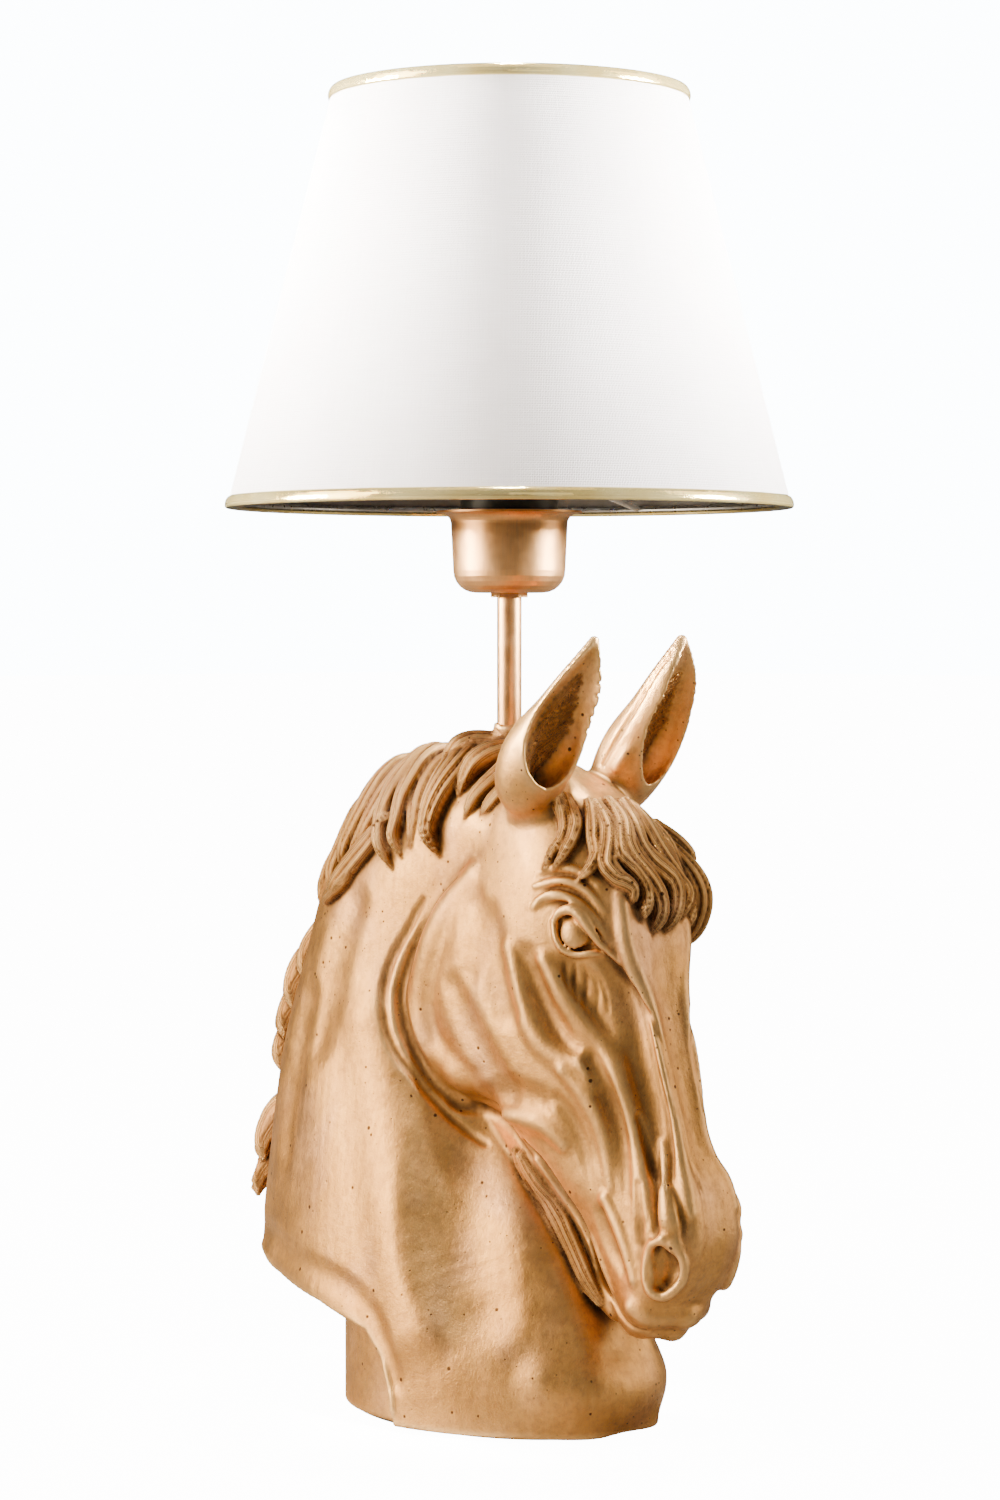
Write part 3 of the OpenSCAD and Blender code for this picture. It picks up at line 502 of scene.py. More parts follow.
def mane(c):
    base = c.d.copy()
    put = lambda pts, w, th, **kw: c.lock(pts, w, th, base, **{"height": 0.6, **kw})
    # the side that shows less: long locks that fall over the horse's left side
    crest = catmull([(2, -12, 271), (2, 18, 275), (2, 44, 269), (2, 66, 257), (2, 86, 240), (2, 102, 214),
        (2, 110, 184), (2, 120, 155), (2, 128, 124), (2, 133, 92), (2, 133, 70)], 200)
    rng = np.random.default_rng(7)
    for layer, (count, reach, lift) in enumerate(((18, 1, 0.4), (16, 0.78, 2.2))):
        for i in range(count):
            s = (i + 0.5 * layer) / count
            root = crest[int(s * 188)]
            a = 0.85 + 0.3 * rng.random()
            bend = rng.uniform(-5, 5)
            down = min(reach * a, (root[2] - 62) / 86)
            out = np.interp(root[2], [60, 120, 200, 270], [38, 42, 34, 26])
            pts = [root + (0, 0, -1), root + (out * 0.45, 4, -8 * down), root + (out * 0.85, 2 + bend * 0.4,
                -34 * down), root + (out * 1, -8 - bend, -62 * down), root + (out * 1.08, -20 + bend, -88 * down)]
            put(pts, [5, 7.5, 7.5, 6, 1], [3, 4.2, 4.2, 3.2, 1], height=[lift * 0.5, lift, lift, lift * 0.6, 0.2],
                wave=1.6 * (1 - 2 * (i % 2)), phase=rng.uniform(0, 6), groove=1.5)
    # the crest, and the locks that fall forward on the right side
    side = (
        # fringe behind the ear
        ([(2, -26, 268), (-8, -24, 266), (-17, -18, 258), (-23, -12, 251), (-25, -8, 246)], [4, 5, 5, 3.5, 1], 3.2,
            1, 2),
        ([(4, -18, 271), (-6, -14, 270), (-15, -9, 261), (-22, -4, 252), (-26, 0, 244)], [4, 5.5, 5, 3.5, 1], 3.8,
            2.2, 2),
        ([(6, -22, 272), (0, -14, 277), (-8, -4, 274), (-16, 4, 264), (-22, 8, 252)], [4, 6, 6.5, 5, 1.2], 4.6, 4.4,
            3),
        ([(10, -16, 272), (4, -8, 277), (-4, 6, 277), (-12, 16, 270), (-17, 22, 260)], [5, 7, 7, 5.5, 1.2], 4.6, 6,
            3),
        # broad lock that ends in a point on the neck, and the shaded one behind it
        ([(2, 26, 274), (-8, 30, 270), (-15, 33, 259), (-20, 33, 249), (-23, 31, 240), (-27, 30, 230)],
            [5, 5.5, 5, 4.5, 3, 0.9], 3, -0.6, 2),
        ([(5, 0, 276), (-6, 9, 275), (-15, 13, 264), (-21, 17, 251), (-25, 18.5, 241), (-26, 17, 235),
            (-27, 13, 228)], [7, 8.5, 8.5, 6.5, 4.4, 2.8, 0.9], 5, 3, 4),
        # two narrow locks with crossed points
        ([(2, 34, 271), (-8, 34, 268), (-15, 37, 258), (-20, 39, 250), (-24, 38, 241), (-27, 37, 234),
            (-28, 33, 227)], [4, 4.6, 4.6, 4.2, 3.4, 2.4, 0.9], 4.5, 1.6, 2),
        ([(2, 41, 269), (-8, 39, 268), (-14, 42, 260), (-18, 46, 252), (-22, 47, 245), (-25, 46, 237),
            (-27, 43, 230), (-30, 38, 222)], [4, 5, 5, 4.8, 4.2, 3.4, 2.4, 0.9], 4.8, 2.4, 2),
        # long locks on the outline
        ([(2, 48, 266), (-8, 47, 264), (-15, 53, 255), (-20, 58, 246), (-24, 62, 237), (-28, 65, 228),
            (-30, 68, 220)], [5, 6, 6, 5.5, 4.5, 3, 1], 4, 0.4, 3),
        ([(3, 56, 262), (-7, 54, 262), (-13, 59, 256), (-18, 64, 247), (-22, 69, 237), (-25, 72, 228),
            (-28, 73, 219)], [5, 6.5, 6.5, 6, 4.8, 3.4, 1], 4.8, 1.8, 3),
        ([(5, 64, 254), (-2, 68, 251), (-10, 73, 242), (-16, 78, 230), (-21, 82, 219), (-26, 80, 208)],
            [6, 7, 7, 6, 4.2, 1.2], 4.2, 0.2, 3),
        # the lock that sweeps back over their ends
        ([(-23, 44, 241), (-26, 51, 234), (-28, 60, 227), (-28, 67, 220), (-28, 72, 213), (-27, 77, 206)],
            [2.2, 4.6, 5.4, 5.2, 4, 1.1], 4.4, 1.8, 3),
        ([(-27, 62, 219), (-27, 70, 213), (-26, 78, 208), (-22, 84, 204)], [1.6, 3.2, 3.2, 1], 3.4, 1.2, 2),
        ([(4, 76, 243), (0, 81, 237), (-5, 88, 226), (-10, 93, 214), (-15, 92, 204)], [6, 7, 6.5, 5, 1.3], 3.6, 0.2,
            3),
        ([(8, 88, 227), (5, 95, 219), (3, 102, 206), (1, 107, 192), (0, 110, 178)], [6, 7, 6.5, 5, 1.3], 3.4, 0.2,
            3),
        ([(9, 100, 204), (6, 107, 193), (5, 114, 178), (3, 118, 163), (2, 121, 150)], [6, 7, 6.5, 5, 1.3], 5.6, 5.2,
            3),
        ([(9, 108, 186), (6, 115, 172), (5, 120, 158), (3, 123, 144), (1, 126, 132)], [6, 7.5, 7, 5.5, 1.3], 5.6,
            5.8, 3),
        ([(9, 116, 164), (7, 122, 150), (6, 126, 134), (5, 128, 118), (4, 130, 104)], [6, 7, 6.5, 5, 1.3], 5.6, 2.6,
            3),
        ([(9, 124, 136), (8, 129, 122), (7, 132, 106), (6, 134, 92), (4, 134, 80)], [6, 7.5, 7.5, 5.5, 1.3], 5.6,
            4.4, 3),
        ([(9, 128, 112), (8, 132, 98), (7, 134, 86), (6, 134, 74)], [6, 7.5, 6.5, 1.3], 5.6, 5.4, 3),
    )
    for i, (y, z) in enumerate(((108, 198), (112, 186), (114, 172), (116, 158), (125, 118), (127, 102))):
        far = (0, 5, 8, 8, 11, 12)[i]
        pts = [(12, y, z), (9, y + 8 + far, z - 6), (5, y + 14 + far, z - 14), (0, y + 15 + far, z - 22),
            (-4, y + 11 + far, z - 28)]
        put(pts, [5.5, 7, 6.4, 4.6, 1.4], [6, 8, 7, 4.6, 1.4], free=(-0.3, 0.9, 0.35), wave=0.8, phase=i * 2.1,
            groove=1.8)
    for i, (pts, w, th, lift, ribs) in enumerate(side):
        put(pts, w, [th * 0.8] + [th] * (len(w) - 2) + [0.9], height=[lift] * (len(w) - 1) + [0.2], phase=i * 1.3,
            wave=0.5, ribs=ribs, groove=1.4)


def forelock(c):
    base = c.d.copy()
    put = lambda pts, w, th, **kw: c.lock(pts, w, th, base, **{"height": 0.8, "ribs": 3, "groove": 1.3, "k": 0.6,
        **kw})
    locks = (
        # far side: small rough curls, then the large lock that turns outwards
        ([(20, -60, 243), (24, -64, 238), (27, -68, 233), (28, -70, 228)], [2.5, 3.6, 3.2, 1.2], 2.8, 0.6),
        ([(17, -66, 240), (21, -70, 236), (26, -71, 232), (30, -70, 228)], [2.5, 3.6, 3.2, 1.2], 3, 1.6),
        ([(14, -66, 244), (18, -73, 236), (21, -77, 229), (25, -80, 220), (25, -82, 211), (20, -83, 203)],
            [3, 4.4, 5.2, 5.2, 4.2, 1], 4, 1.2),
        # near side: thin dark locks in front of the ear
        ([(-21, -47, 254), (-24, -54, 247), (-28, -56, 240), (-31, -53, 233), (-33, -50, 226)],
            [2.5, 3.2, 3, 2.4, 0.9], 2.6, 0.4),
        ([(-18, -52, 254), (-23, -59, 246), (-27, -60, 238), (-30, -58, 232), (-31, -55, 226)],
            [2.5, 3.4, 3.2, 2.4, 0.9], 3, 0.9),
        ([(-13, -58, 254), (-18, -65, 247), (-21, -68, 240), (-21, -69, 233), (-25, -69, 227), (-29, -66, 223)],
            [2.5, 4.2, 4.2, 3.6, 2.6, 0.9], 3.4, 0.8),
        ([(-11, -60, 252), (-14, -69, 243), (-18, -73, 236), (-20, -74, 229), (-17, -77, 223), (-13, -79, 218),
            (-12, -81, 212)], [3, 4.6, 4.8, 4.8, 4.2, 3.2, 0.9], 4, 1.2),
        # middle: long curving locks
        ([(7, -60, 252), (8, -68, 245), (9, -75, 238), (12, -78, 230), (17, -79, 222), (18, -81, 214),
            (13, -83, 206)], [3, 4.6, 5, 5, 4.8, 3.6, 1], 4, 0.6),
        ([(3, -62, 253), (0, -71, 244), (-1, -76, 236), (3, -79, 229), (10, -80, 222), (11, -82, 215),
            (7, -84, 207), (3, -85, 202)], [3, 5, 5.4, 5.4, 5.2, 4.4, 3.2, 1], 4.4, 1.3),
        ([(-3, -61, 254), (-6, -70, 245), (-10, -75, 237), (-9, -78, 230), (-3, -80, 223), (1, -82, 216),
            (0, -84, 208), (-4, -85, 201)], [3, 5, 5.6, 5.8, 5.6, 4.8, 3.6, 1], 4.6, 1.6),
        ([(-8, -66, 247), (-12, -72, 239), (-14, -76, 232), (-9, -79, 225), (-6, -81, 218), (-8, -82, 211),
            (-10, -83, 206)], [2, 3.2, 3.4, 3.4, 3, 2.4, 0.8], 3.4, 2.6),
    )
    for i, (pts, w, t, lift) in enumerate(locks):
        put(pts, w, [t * 0.7] + [t] * (len(w) - 2) + [0.9], height=[lift * 0.3] + [lift] * (len(w) - 2) + [0.3],
            phase=i * 0.9)
    put([(19, -66, 236), (22, -71, 229), (25, -75, 222), (27, -77, 215), (27, -77, 208), (25, -76, 201),
        (21, -75, 194)], [3, 5, 6.6, 7.4, 7.2, 6, 1.6], [3, 5, 6, 6.4, 6.2, 5, 1.6], free=(-0.45, -0.85, 0.1),
        ribs=4)
    put([(20, -62, 242), (25, -68, 236), (29, -72, 230), (31, -72, 225)], [2.4, 3.4, 3.2, 1.2], [2.6, 3.2, 3, 1],
        free=(0.6, -0.6, 0.3), ribs=2)


def horse(step):
    """The bust as clay, solid."""
    c = Clay((-66, -128, -4), (66, 154, 322), step)
    c.d = smooth_min(c.from_mesh(*skin(loft(NECK, 110, 96))), c.from_mesh(*skin(loft(HEAD, 130, 96))), 3.0)
    body(c)
    c.strokes(FACE)
    muzzle(c)
    ears(c)
    eyes(c)
    hem_and_base(c)
    mane(c)
    forelock(c)
    # the collar of filler round the stem, then the flat underside
    s, x, y, z = c.window((-16, -16, 255), (16, 16, 300))
    rad = np.sqrt(x * x + y * y)
    t = np.maximum(rad - np.interp(z, [250, 268, 276, 281], [14, 10, 6.8, 6.2]),
        z - 281 - 0.6 * np.sin(3 * np.arctan2(y, x)))
    c.add(s, t.astype(np.float32), 1.5)
    z = c.low[2] + c.step * np.arange(c.n[2])
    c.d = -smooth_min(-c.d, np.broadcast_to((z - FOOT_Z)[None, None].astype(np.float32), c.d.shape), 1.0)
    return c


# ---------------------------------------------------------------- meshes
def placed(me):
    ob = bpy.data.objects.new(me.name, me)
    bpy.context.scene.collection.objects.link(ob)
    return ob


def mesh_object(name, points, faces):
    """A mesh in metres from points in millimetres, its faces turned outwards."""
    p = np.asarray(points, float)
    q = p - p.mean(0)
    fan = [(f[0], f[i], f[i + 1]) for f in faces for i in range(1, len(f) - 1)]
    a, b, c = (q[[t[i] for t in fan]] for i in range(3))
    if (a * np.cross(b, c)).sum() < 0:
        faces = [tuple(f)[::-1] for f in faces]
    me = bpy.data.meshes.new(name)
    me.from_pydata((p * 0.001).tolist(), [], [list(map(int, f)) for f in faces])
    me.validate()
    me.shade_smooth()
    return placed(me)


def fast_mesh(name, points, tris, quads):
    """The same for many triangles and quads that already face outwards."""
    me = bpy.data.meshes.new(name)
    loops = np.concatenate([quads.ravel(), tris.ravel()]).astype(np.int32)
    sizes = np.concatenate([np.full(len(quads), 4), np.full(len(tris), 3)])
    me.vertices.add(len(points))
    me.vertices.foreach_set("co", (points * 0.001).astype(np.float32).ravel())
    me.loops.add(len(loops))
    me.loops.foreach_set("vertex_index", loops)
    me.polygons.add(len(sizes))
    me.polygons.foreach_set("loop_start", np.concatenate([[0], np.cumsum(sizes)[:-1]]).astype(np.int32))
    me.update(calc_edges=True)
    me.validate()
    me.shade_smooth()
    return placed(me)


def blur(field, n):
    """A box blur of n cells each way, run twice."""
    for _ in range(2):
        for ax in range(3):
            pad = [(0, 0)] * 3
            pad[ax] = (n + 1, n)
            s = np.cumsum(np.pad(field, pad, mode="edge"), axis=ax, dtype=np.float64)
            s = np.moveaxis(s, ax, 0)
            field = np.moveaxis((s[2 * n + 1 :] - s[: -(2 * n + 1)]) / (2 * n + 1), 0, ax).astype(np.float32)
    return field


# the hollow of the casting, in stations like those of the neck
HOLLOW = (
    (-8, 198, 18, 246, 8, 13, 15, 6),
    (4, 180, 50, 238, 8, 15, 18, 7),
    (13, 160, 80, 214, 9, 18, 22, 9),
    (13, 138, 102, 182, 10, 22, 27, 12),
    (-5, 114, 112, 144, 13, 28, 33, 15),
    (-28, 86, 118, 102, 16, 35, 38, 18),
    (-44, 58, 92, 66, 20, 38, 40, 20),
    (-49, 30, 66, 30, 22, 40, 40, 22),
    (-48, -3, 66, -3, 22, 40, 40, 22),
)


def turned(name, profile, sides, at=(0, 0, 0), lying=False, squash=(1, 1)):
    """A closed solid of revolution through (radius, height) points, standing or lying along y."""
    turns = [2 * math.pi * i / sides for i in range(sides)]
    pts = [(r * math.cos(a) * squash[0], r * math.sin(a) * squash[1], h) for r, h in profile for a in turns]
    last = (len(profile) - 1) * sides
    faces = []
    for j in range(0, last, sides):
        for i in range(sides):
            k = (i + 1) % sides
            faces.append((j + i, j + k, j + sides + k, j + sides + i))
    faces.append(tuple(range(sides))[::-1])
    faces.append(tuple(last + i for i in range(sides)))
    pts = np.array(pts)
    return mesh_object(name, (pts[:, [0, 2, 1]] if lying else pts) + np.array(at), faces)


def carve(ob, cutters):
    """Takes cutters away from ob, and removes them."""
    for cutter in cutters:
        m = ob.modifiers.new("cut", "BOOLEAN")
        m.operation, m.object, m.solver = "DIFFERENCE", cutter, "MANIFOLD"
    bpy.context.view_layer.update()
    done = bpy.data.meshes.new_from_object(ob.evaluated_get(bpy.context.evaluated_depsgraph_get()))
    ob.modifiers.clear()
    old, ob.data = ob.data, done
    done.name = ob.name
    bpy.data.meshes.remove(old)
    for cutter in cutters:
        bpy.data.objects.remove(cutter)


def make_horse():
    """The bust as an object: meshed, hollowed, and measured for its paint."""
    step = 0.8
    c = horse(step)
    grid = openvdb.FloatGrid()
    grid.background = 4.0
    grid.copyFromArray(np.clip(c.d / step, -4, 4).astype(np.float32))
    points, tris, quads = grid.convertToPolygons(isovalue=0.0, adaptivity=0.0)
    points = points.astype(float) * step + c.low
    ob = fast_mesh("horse_sculpt", points, tris, quads)
    me = ob.data
    hollow = skin(loft(HOLLOW, 40, 48))
    cutters = [
        mesh_object("cut_hollow", hollow[0], hollow[1]),
        turned("cut_recess", [(0.8, -2), (1, -2), (1, 4.6), (0.8, 4.6)], 96, (0, 9, 0), squash=(43, 60)),
        turned("cut_stem", [(5.25, 225), (5.25, 300)], 48),
        turned("cut_bush", [(4.7, 50), (4.7, 110)], 40, (0, 0, 19), lying=True),
        turned("cut_pocket", [(13.5, 227), (13.5, 249)], 48),
    ]
    carve(ob, cutters)
    me = ob.data
    me.shade_smooth()
    n = len(me.vertices)
    co = np.empty(n * 3, np.float32)
    me.vertices.foreach_get("co", co)
    p = co.reshape(-1, 3) * 1000.0
    d = np.clip(c.d, -6, 6)
    # how far the surface lies below (under zero) or above its surroundings, and where there is hair
    fields = {
        "dent": blur(d, round(1.7 / step)) - d,
        "dent_wide": blur(d, round(4.0 / step)) - d,
        "hair": c.hair,
        "strand": c.strand,
    }
    for name, field in fields.items():
        me.attributes.new(name, "FLOAT", "POINT").data.foreach_set("value", c.sample(field, p).astype(np.float32))
    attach(ob, "lamp_base")
    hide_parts("horse_bust")
    return ob


# ---------------------------------------------------------------- paint
class Paint:
    """A procedural material on the Principled shader. Sizes are in millimetres on the object's own coordinates."""

    def __init__(self, name, rough=0.5, metal=0.0, **sockets):
        self.m = bpy.data.materials.new(name)
        self.m.use_nodes = True
        self.nt = self.m.node_tree
        self.b = self.nt.nodes["Principled BSDF"]
        self.set("Roughness", rough)
        self.set("Metallic", metal)
        for k, v in sockets.items():
            self.set(k.replace("_", " "), v)
        self.at = self.node("TexCoord").outputs["Object"]
        self.height = None

    def plug(self, socket, v):
        if isinstance(v, bpy.types.NodeSocket):
            self.nt.links.new(v, socket)
        elif v is not None:
            socket.default_value = (*v, 1) if isinstance(v, tuple) and len(v) == 3 and socket.type == "RGBA" else v

    def set(self, name, v):
        self.plug(self.b.inputs[name], v)

    def node(self, kind, *ins, **props):
        n = self.nt.nodes.new("ShaderNode" + kind)
        for k, v in props.items():
            setattr(n, k, v)
        for i, v in enumerate(ins):
            self.plug(n.inputs[i], v)
        return n

    def math(self, op, a, b=None, c=None, clamp=False):
        return self.node("Math", a, b, c, operation=op, use_clamp=clamp).outputs[0]

    def spread(self, stretch):
        return self.node("VectorMath", self.at, stretch, operation="MULTIPLY").outputs[0]

    def fill(self, n, **values):
        for k, v in values.items():
            self.plug(n.inputs[k.replace("_", " ")], v)
        return n

    def noise(self, mm, detail=3.0, rough=0.55, stretch=None, at=None, size=1.0):
        at = at or (self.spread(stretch) if stretch else self.at)
        n = self.node("TexNoise")
        return self.fill(n, Vector=at, Scale=1000.0 / mm / size, Detail=detail, Roughness=rough).outputs["Fac"]

    def line(self, value, scale, detail=2.0):
        """Noise along one number."""
        n = self.node("TexNoise", noise_dimensions="1D")
        return self.fill(n, W=value, Scale=scale, Detail=detail).outputs["Fac"]

    def times(self, a, b, clamp=False):
        return self.math("MULTIPLY", a, b, clamp=clamp)

    def attr(self, name):
        return self.node("Attribute", attribute_name=name).outputs["Fac"]

    def xyz(self):
        return self.node("SeparateXYZ", self.at).outputs

    def fit(self, v, a, b, lo=0.0, hi=1.0):
        n = self.node("MapRange")
        return self.fill(n, Value=v, From_Min=a, From_Max=b, To_Min=lo, To_Max=hi).outputs["Result"]

    def ramp(self, v, stops):
        n = self.node("ValToRGB", v)
        e = n.color_ramp.elements
        while len(e) < len(stops):
            e.new(0.5)
        for el, (pos, colour) in zip(e, stops):
            el.position, el.color = pos, (*colour, 1)
        return n.outputs["Color"]

    def mix(self, f, a, b, how="MIX"):
        n = self.node("Mix", data_type="RGBA", blend_type=how)
        for i, v in ((0, f), (6, a), (7, b)):
            self.plug(n.inputs[i], v)
        return n.outputs[2]

    def specks(self, mm, radius, share):
        """Small round marks: 1 inside a mark. The distance between marks is mm, the largest radius is in cells."""
        n = self.fill(self.node("TexVoronoi"), Vector=self.at, Scale=1000.0 / mm)
        pick = self.node("SeparateColor", n.outputs["Color"]).outputs[0]
        r = self.fit(pick, 1 - share, 1.0, 0.0, radius)
        return self.fit(self.math("SUBTRACT", r, n.outputs["Distance"]), 0.0, radius * 0.35)

    def bump(self, height, mm, strength=1.0):
        """Relief of mm millimetres for a height of 0 to 1."""
        n = self.fill(self.node("Bump"), Strength=strength, Distance=mm * 0.001, Height=height, Normal=self.height)
        self.height = n.outputs["Normal"]
        self.set("Normal", self.height)


def copper_cast():
    """Copper-gold paint on the carved bust, with painted shade in its hollows and grooves and a painted highlight,
    partly rubbed wear, on its ridges.
    """
    p = Paint("copper_cast_paint", metal=0.93)
    dent, wide, hair, strand = (p.attr(k) for k in ("dent", "dent_wide", "hair", "strand"))
    # the hair counts as a little deeper, so it takes more of the painted shade below and less of the painted
    # highlight
    dent = p.math("MULTIPLY_ADD", hair, -0.10, dent)
    broad, mid, small = p.noise(55, 3), p.noise(14, 4), p.noise(2.6, 3)
    col = p.ramp(broad, ((0.3, (0.60, 0.30, 0.085)), (0.5, (0.74, 0.385, 0.112)), (0.7, (0.84, 0.46, 0.145))))
    col = p.mix(p.fit(p.noise(34, 2, at=p.spread((1, 1, 0.7))), 0.52, 0.72, 0, 0.45), col, (0.72, 0.42, 0.28))
    brushed = p.noise(1.6, 3, 0.6, stretch=(1, 1, 0.09))
    col = p.mix(p.fit(brushed, 0.35, 0.65, 0, 0.14), col, (0.50, 0.21, 0.06))
    col = p.mix(p.fit(mid, 0.45, 0.75, 0, 0.30), col, (0.98, 0.53, 0.18))
    col = p.mix(p.fit(p.noise(4, 5, 0.75), 0.54, 0.30, 0, 0.60), col, (0.44, 0.215, 0.08))
    # the hair is a darker brown, deepest in its hollows as painted shade
    col = p.mix(p.times(hair, p.fit(dent, 0.35, -0.25, 0.02, 0.62)), col, (0.34, 0.165, 0.06))
    # painted shade in the broad hollows, painted shade in the narrow ones further down, and a painted highlight
    # with some rubbed wear on the ridges
    broad_hollow_shade = p.times(p.fit(wide, -0.12, -1.3, 0, 0.85), p.fit(small, 0.25, 0.6, 0.55, 1.0))
    col = p.mix(broad_hollow_shade, col, (0.33, 0.17, 0.06))
    # painted highlight: the ridges are lightened as if lit, together with some rubbed wear
    col = p.mix(p.times(p.fit(dent, 0.08, 0.50), 0.62), col, (1.0, 0.63, 0.26))
    # painted shade: the grooves between strands, low in the same relief that the bump below raises, are coloured
    # dark
    threads = p.line(strand, 1.7, 3)
    dark = p.times(hair, p.fit(threads, 0.58, 0.36, 0, 0.85))
    col = p.mix(dark, col, (0.16, 0.065, 0.018))
    # painted shade: the narrow hollows and crevices, hair included, are coloured near black-brown for the shade in
    # them, patchy with noise and a little rougher there
    crevice_shade = p.math("ADD", p.fit(dent, -0.10, -0.62), p.fit(mid, 0.35, 0.65, -0.22, 0.22))
    crevice_shade = p.times(p.times(crevice_shade, p.fit(dent, -0.02, -0.15)), p.fit(hair, 0, 1, 0.8, 1.0), clamp=True)
    col = p.mix(crevice_shade, col, (0.085, 0.038, 0.015))
    pits = p.math("MAXIMUM", p.specks(5, 0.20, 0.6), p.times(p.specks(2.2, 0.26, 0.5),
        p.fit(p.noise(40, 2), 0.45, 0.6)))
    col = p.mix(p.times(pits, 0.92), col, (0.05, 0.022, 0.009))
    p.set("Base Color", col)
    rough = p.math("ADD", p.fit(mid, 0.3, 0.7, 0.39, 0.50), p.times(crevice_shade, 0.25))
    p.set("Roughness", p.math("ADD", rough, p.fit(brushed, 0.3, 0.7, -0.03, 0.05)))
    p.bump(threads, 0.9, 0.8)
    p.nt.links.new(hair, p.height.node.inputs["Strength"])
    p.bump(brushed, 0.05, 0.5)
    p.bump(p.noise(4.5, 4, 0.6), 0.45, 0.6)
    p.bump(p.noise(0.9, 4, 0.65), 0.14, 0.8)
    p.bump(p.math("SUBTRACT", 1.0, pits), 0.12, 0.5)
    return p.m


def copper_metal():
    """The same paint on turned and drawn steel: smoother, with drawing lines along the parts."""
    p = Paint("copper_metal_paint", metal=0.95)
    drawn = p.noise(0.8, 3, 0.6, stretch=(1, 1, 0.03))
    broad = p.noise(20, 3)
    col = p.ramp(broad, ((0.3, (0.68, 0.33, 0.11)), (0.55, (0.78, 0.40, 0.15)), (0.75, (0.86, 0.47, 0.20))))
    col = p.mix(p.fit(drawn, 0.4, 0.7, 0, 0.25), col, (0.50, 0.26, 0.12))
    spots = p.specks(6, 0.10, 0.2)
    col = p.mix(p.times(spots, 0.7), col, (0.20, 0.09, 0.04))
    p.set("Base Color", col)
    p.set("Roughness", p.fit(p.noise(5, 4), 0.3, 0.7, 0.30, 0.42))
    p.bump(drawn, 0.03, 0.6)
    p.bump(p.noise(0.7, 3), 0.02, 0.6)
    return p.m


def metal(name, low, high, rough, mm=0.5, stretch=(1, 1, 1), tarnish=None):
    """Bare or plated metal with turning lines, handling marks and a little tarnish."""
    p = Paint(name, metal=1.0)
    lines = p.noise(mm, 3, 0.6, stretch=stretch)
    col = p.mix(p.fit(p.noise(7, 4), 0.35, 0.7), low, high)
    if tarnish:
        col = p.mix(p.fit(p.noise(3.5, 5, 0.7), 0.58, 0.72, 0, 0.6), col, tarnish)
    p.set("Base Color", p.mix(p.fit(lines, 0.4, 0.65, 0, 0.2), col, tuple(v * 0.7 for v in low)))
    p.set("Roughness", p.fit(p.noise(4, 4), 0.3, 0.7, rough - 0.06, rough + 0.10))
    p.bump(lines, 0.02, 0.5)
    return p.m


def moulded(name, low, high, rough, grain=0.35, relief=0.03, coat=0.0, marks=None):
    """Moulded plastic, glazed ceramic or sprayed enamel: fine grain, slow colour drift, a few marks."""
    p = Paint(name, rough=rough, Coat_Weight=coat)
    col = p.mix(p.fit(p.noise(16, 3), 0.35, 0.7), low, high)
    col = p.mix(p.times(p.specks(3.2, 0.12, 0.18), 0.5), col, marks or tuple(v * 0.6 for v in low))
    p.set("Base Color", col)
    p.set("Roughness", p.fit(p.noise(2.4, 4), 0.3, 0.7, rough - 0.05, rough + 0.08))
    p.bump(p.noise(grain, 3, 0.6), relief, 0.6)
    return p.m


def board():
    """Raw fibreboard: short fibres pressed flat, with a slow drift in tone."""
    p = Paint("fibreboard", rough=0.85)
    fibres = p.noise(0.7, 5, 0.75, stretch=(1, 0.35, 2.5))
    col = p.ramp(fibres, ((0.3, (0.20, 0.125, 0.07)), (0.5, (0.33, 0.225, 0.135)), (0.72, (0.46, 0.34, 0.22))))
    p.set("Base Color", p.mix(p.fit(p.noise(18, 3), 0.4, 0.7, 0, 0.4), col, (0.28, 0.19, 0.12)))
    p.bump(fibres, 0.12, 0.7)
    return p.m


def felt():
    """Pressed felt: matted fibres with a soft sheen."""
    p = Paint("felt_cloth", rough=0.95, Sheen_Weight=0.35, Sheen_Roughness=0.6)
    a, b = p.noise(0.5, 5, 0.8, stretch=(1, 0.3, 1)), p.noise(0.5, 5, 0.8, stretch=(0.3, 1, 1))
    both = p.math("MAXIMUM", a, b)
    p.set("Base Color", p.ramp(both, ((0.35, (0.012, 0.013, 0.012)), (0.6, (0.035, 0.037, 0.035)),
        (0.8, (0.085, 0.09, 0.085)))))
    p.bump(both, 0.35, 0.9)
    return p.m


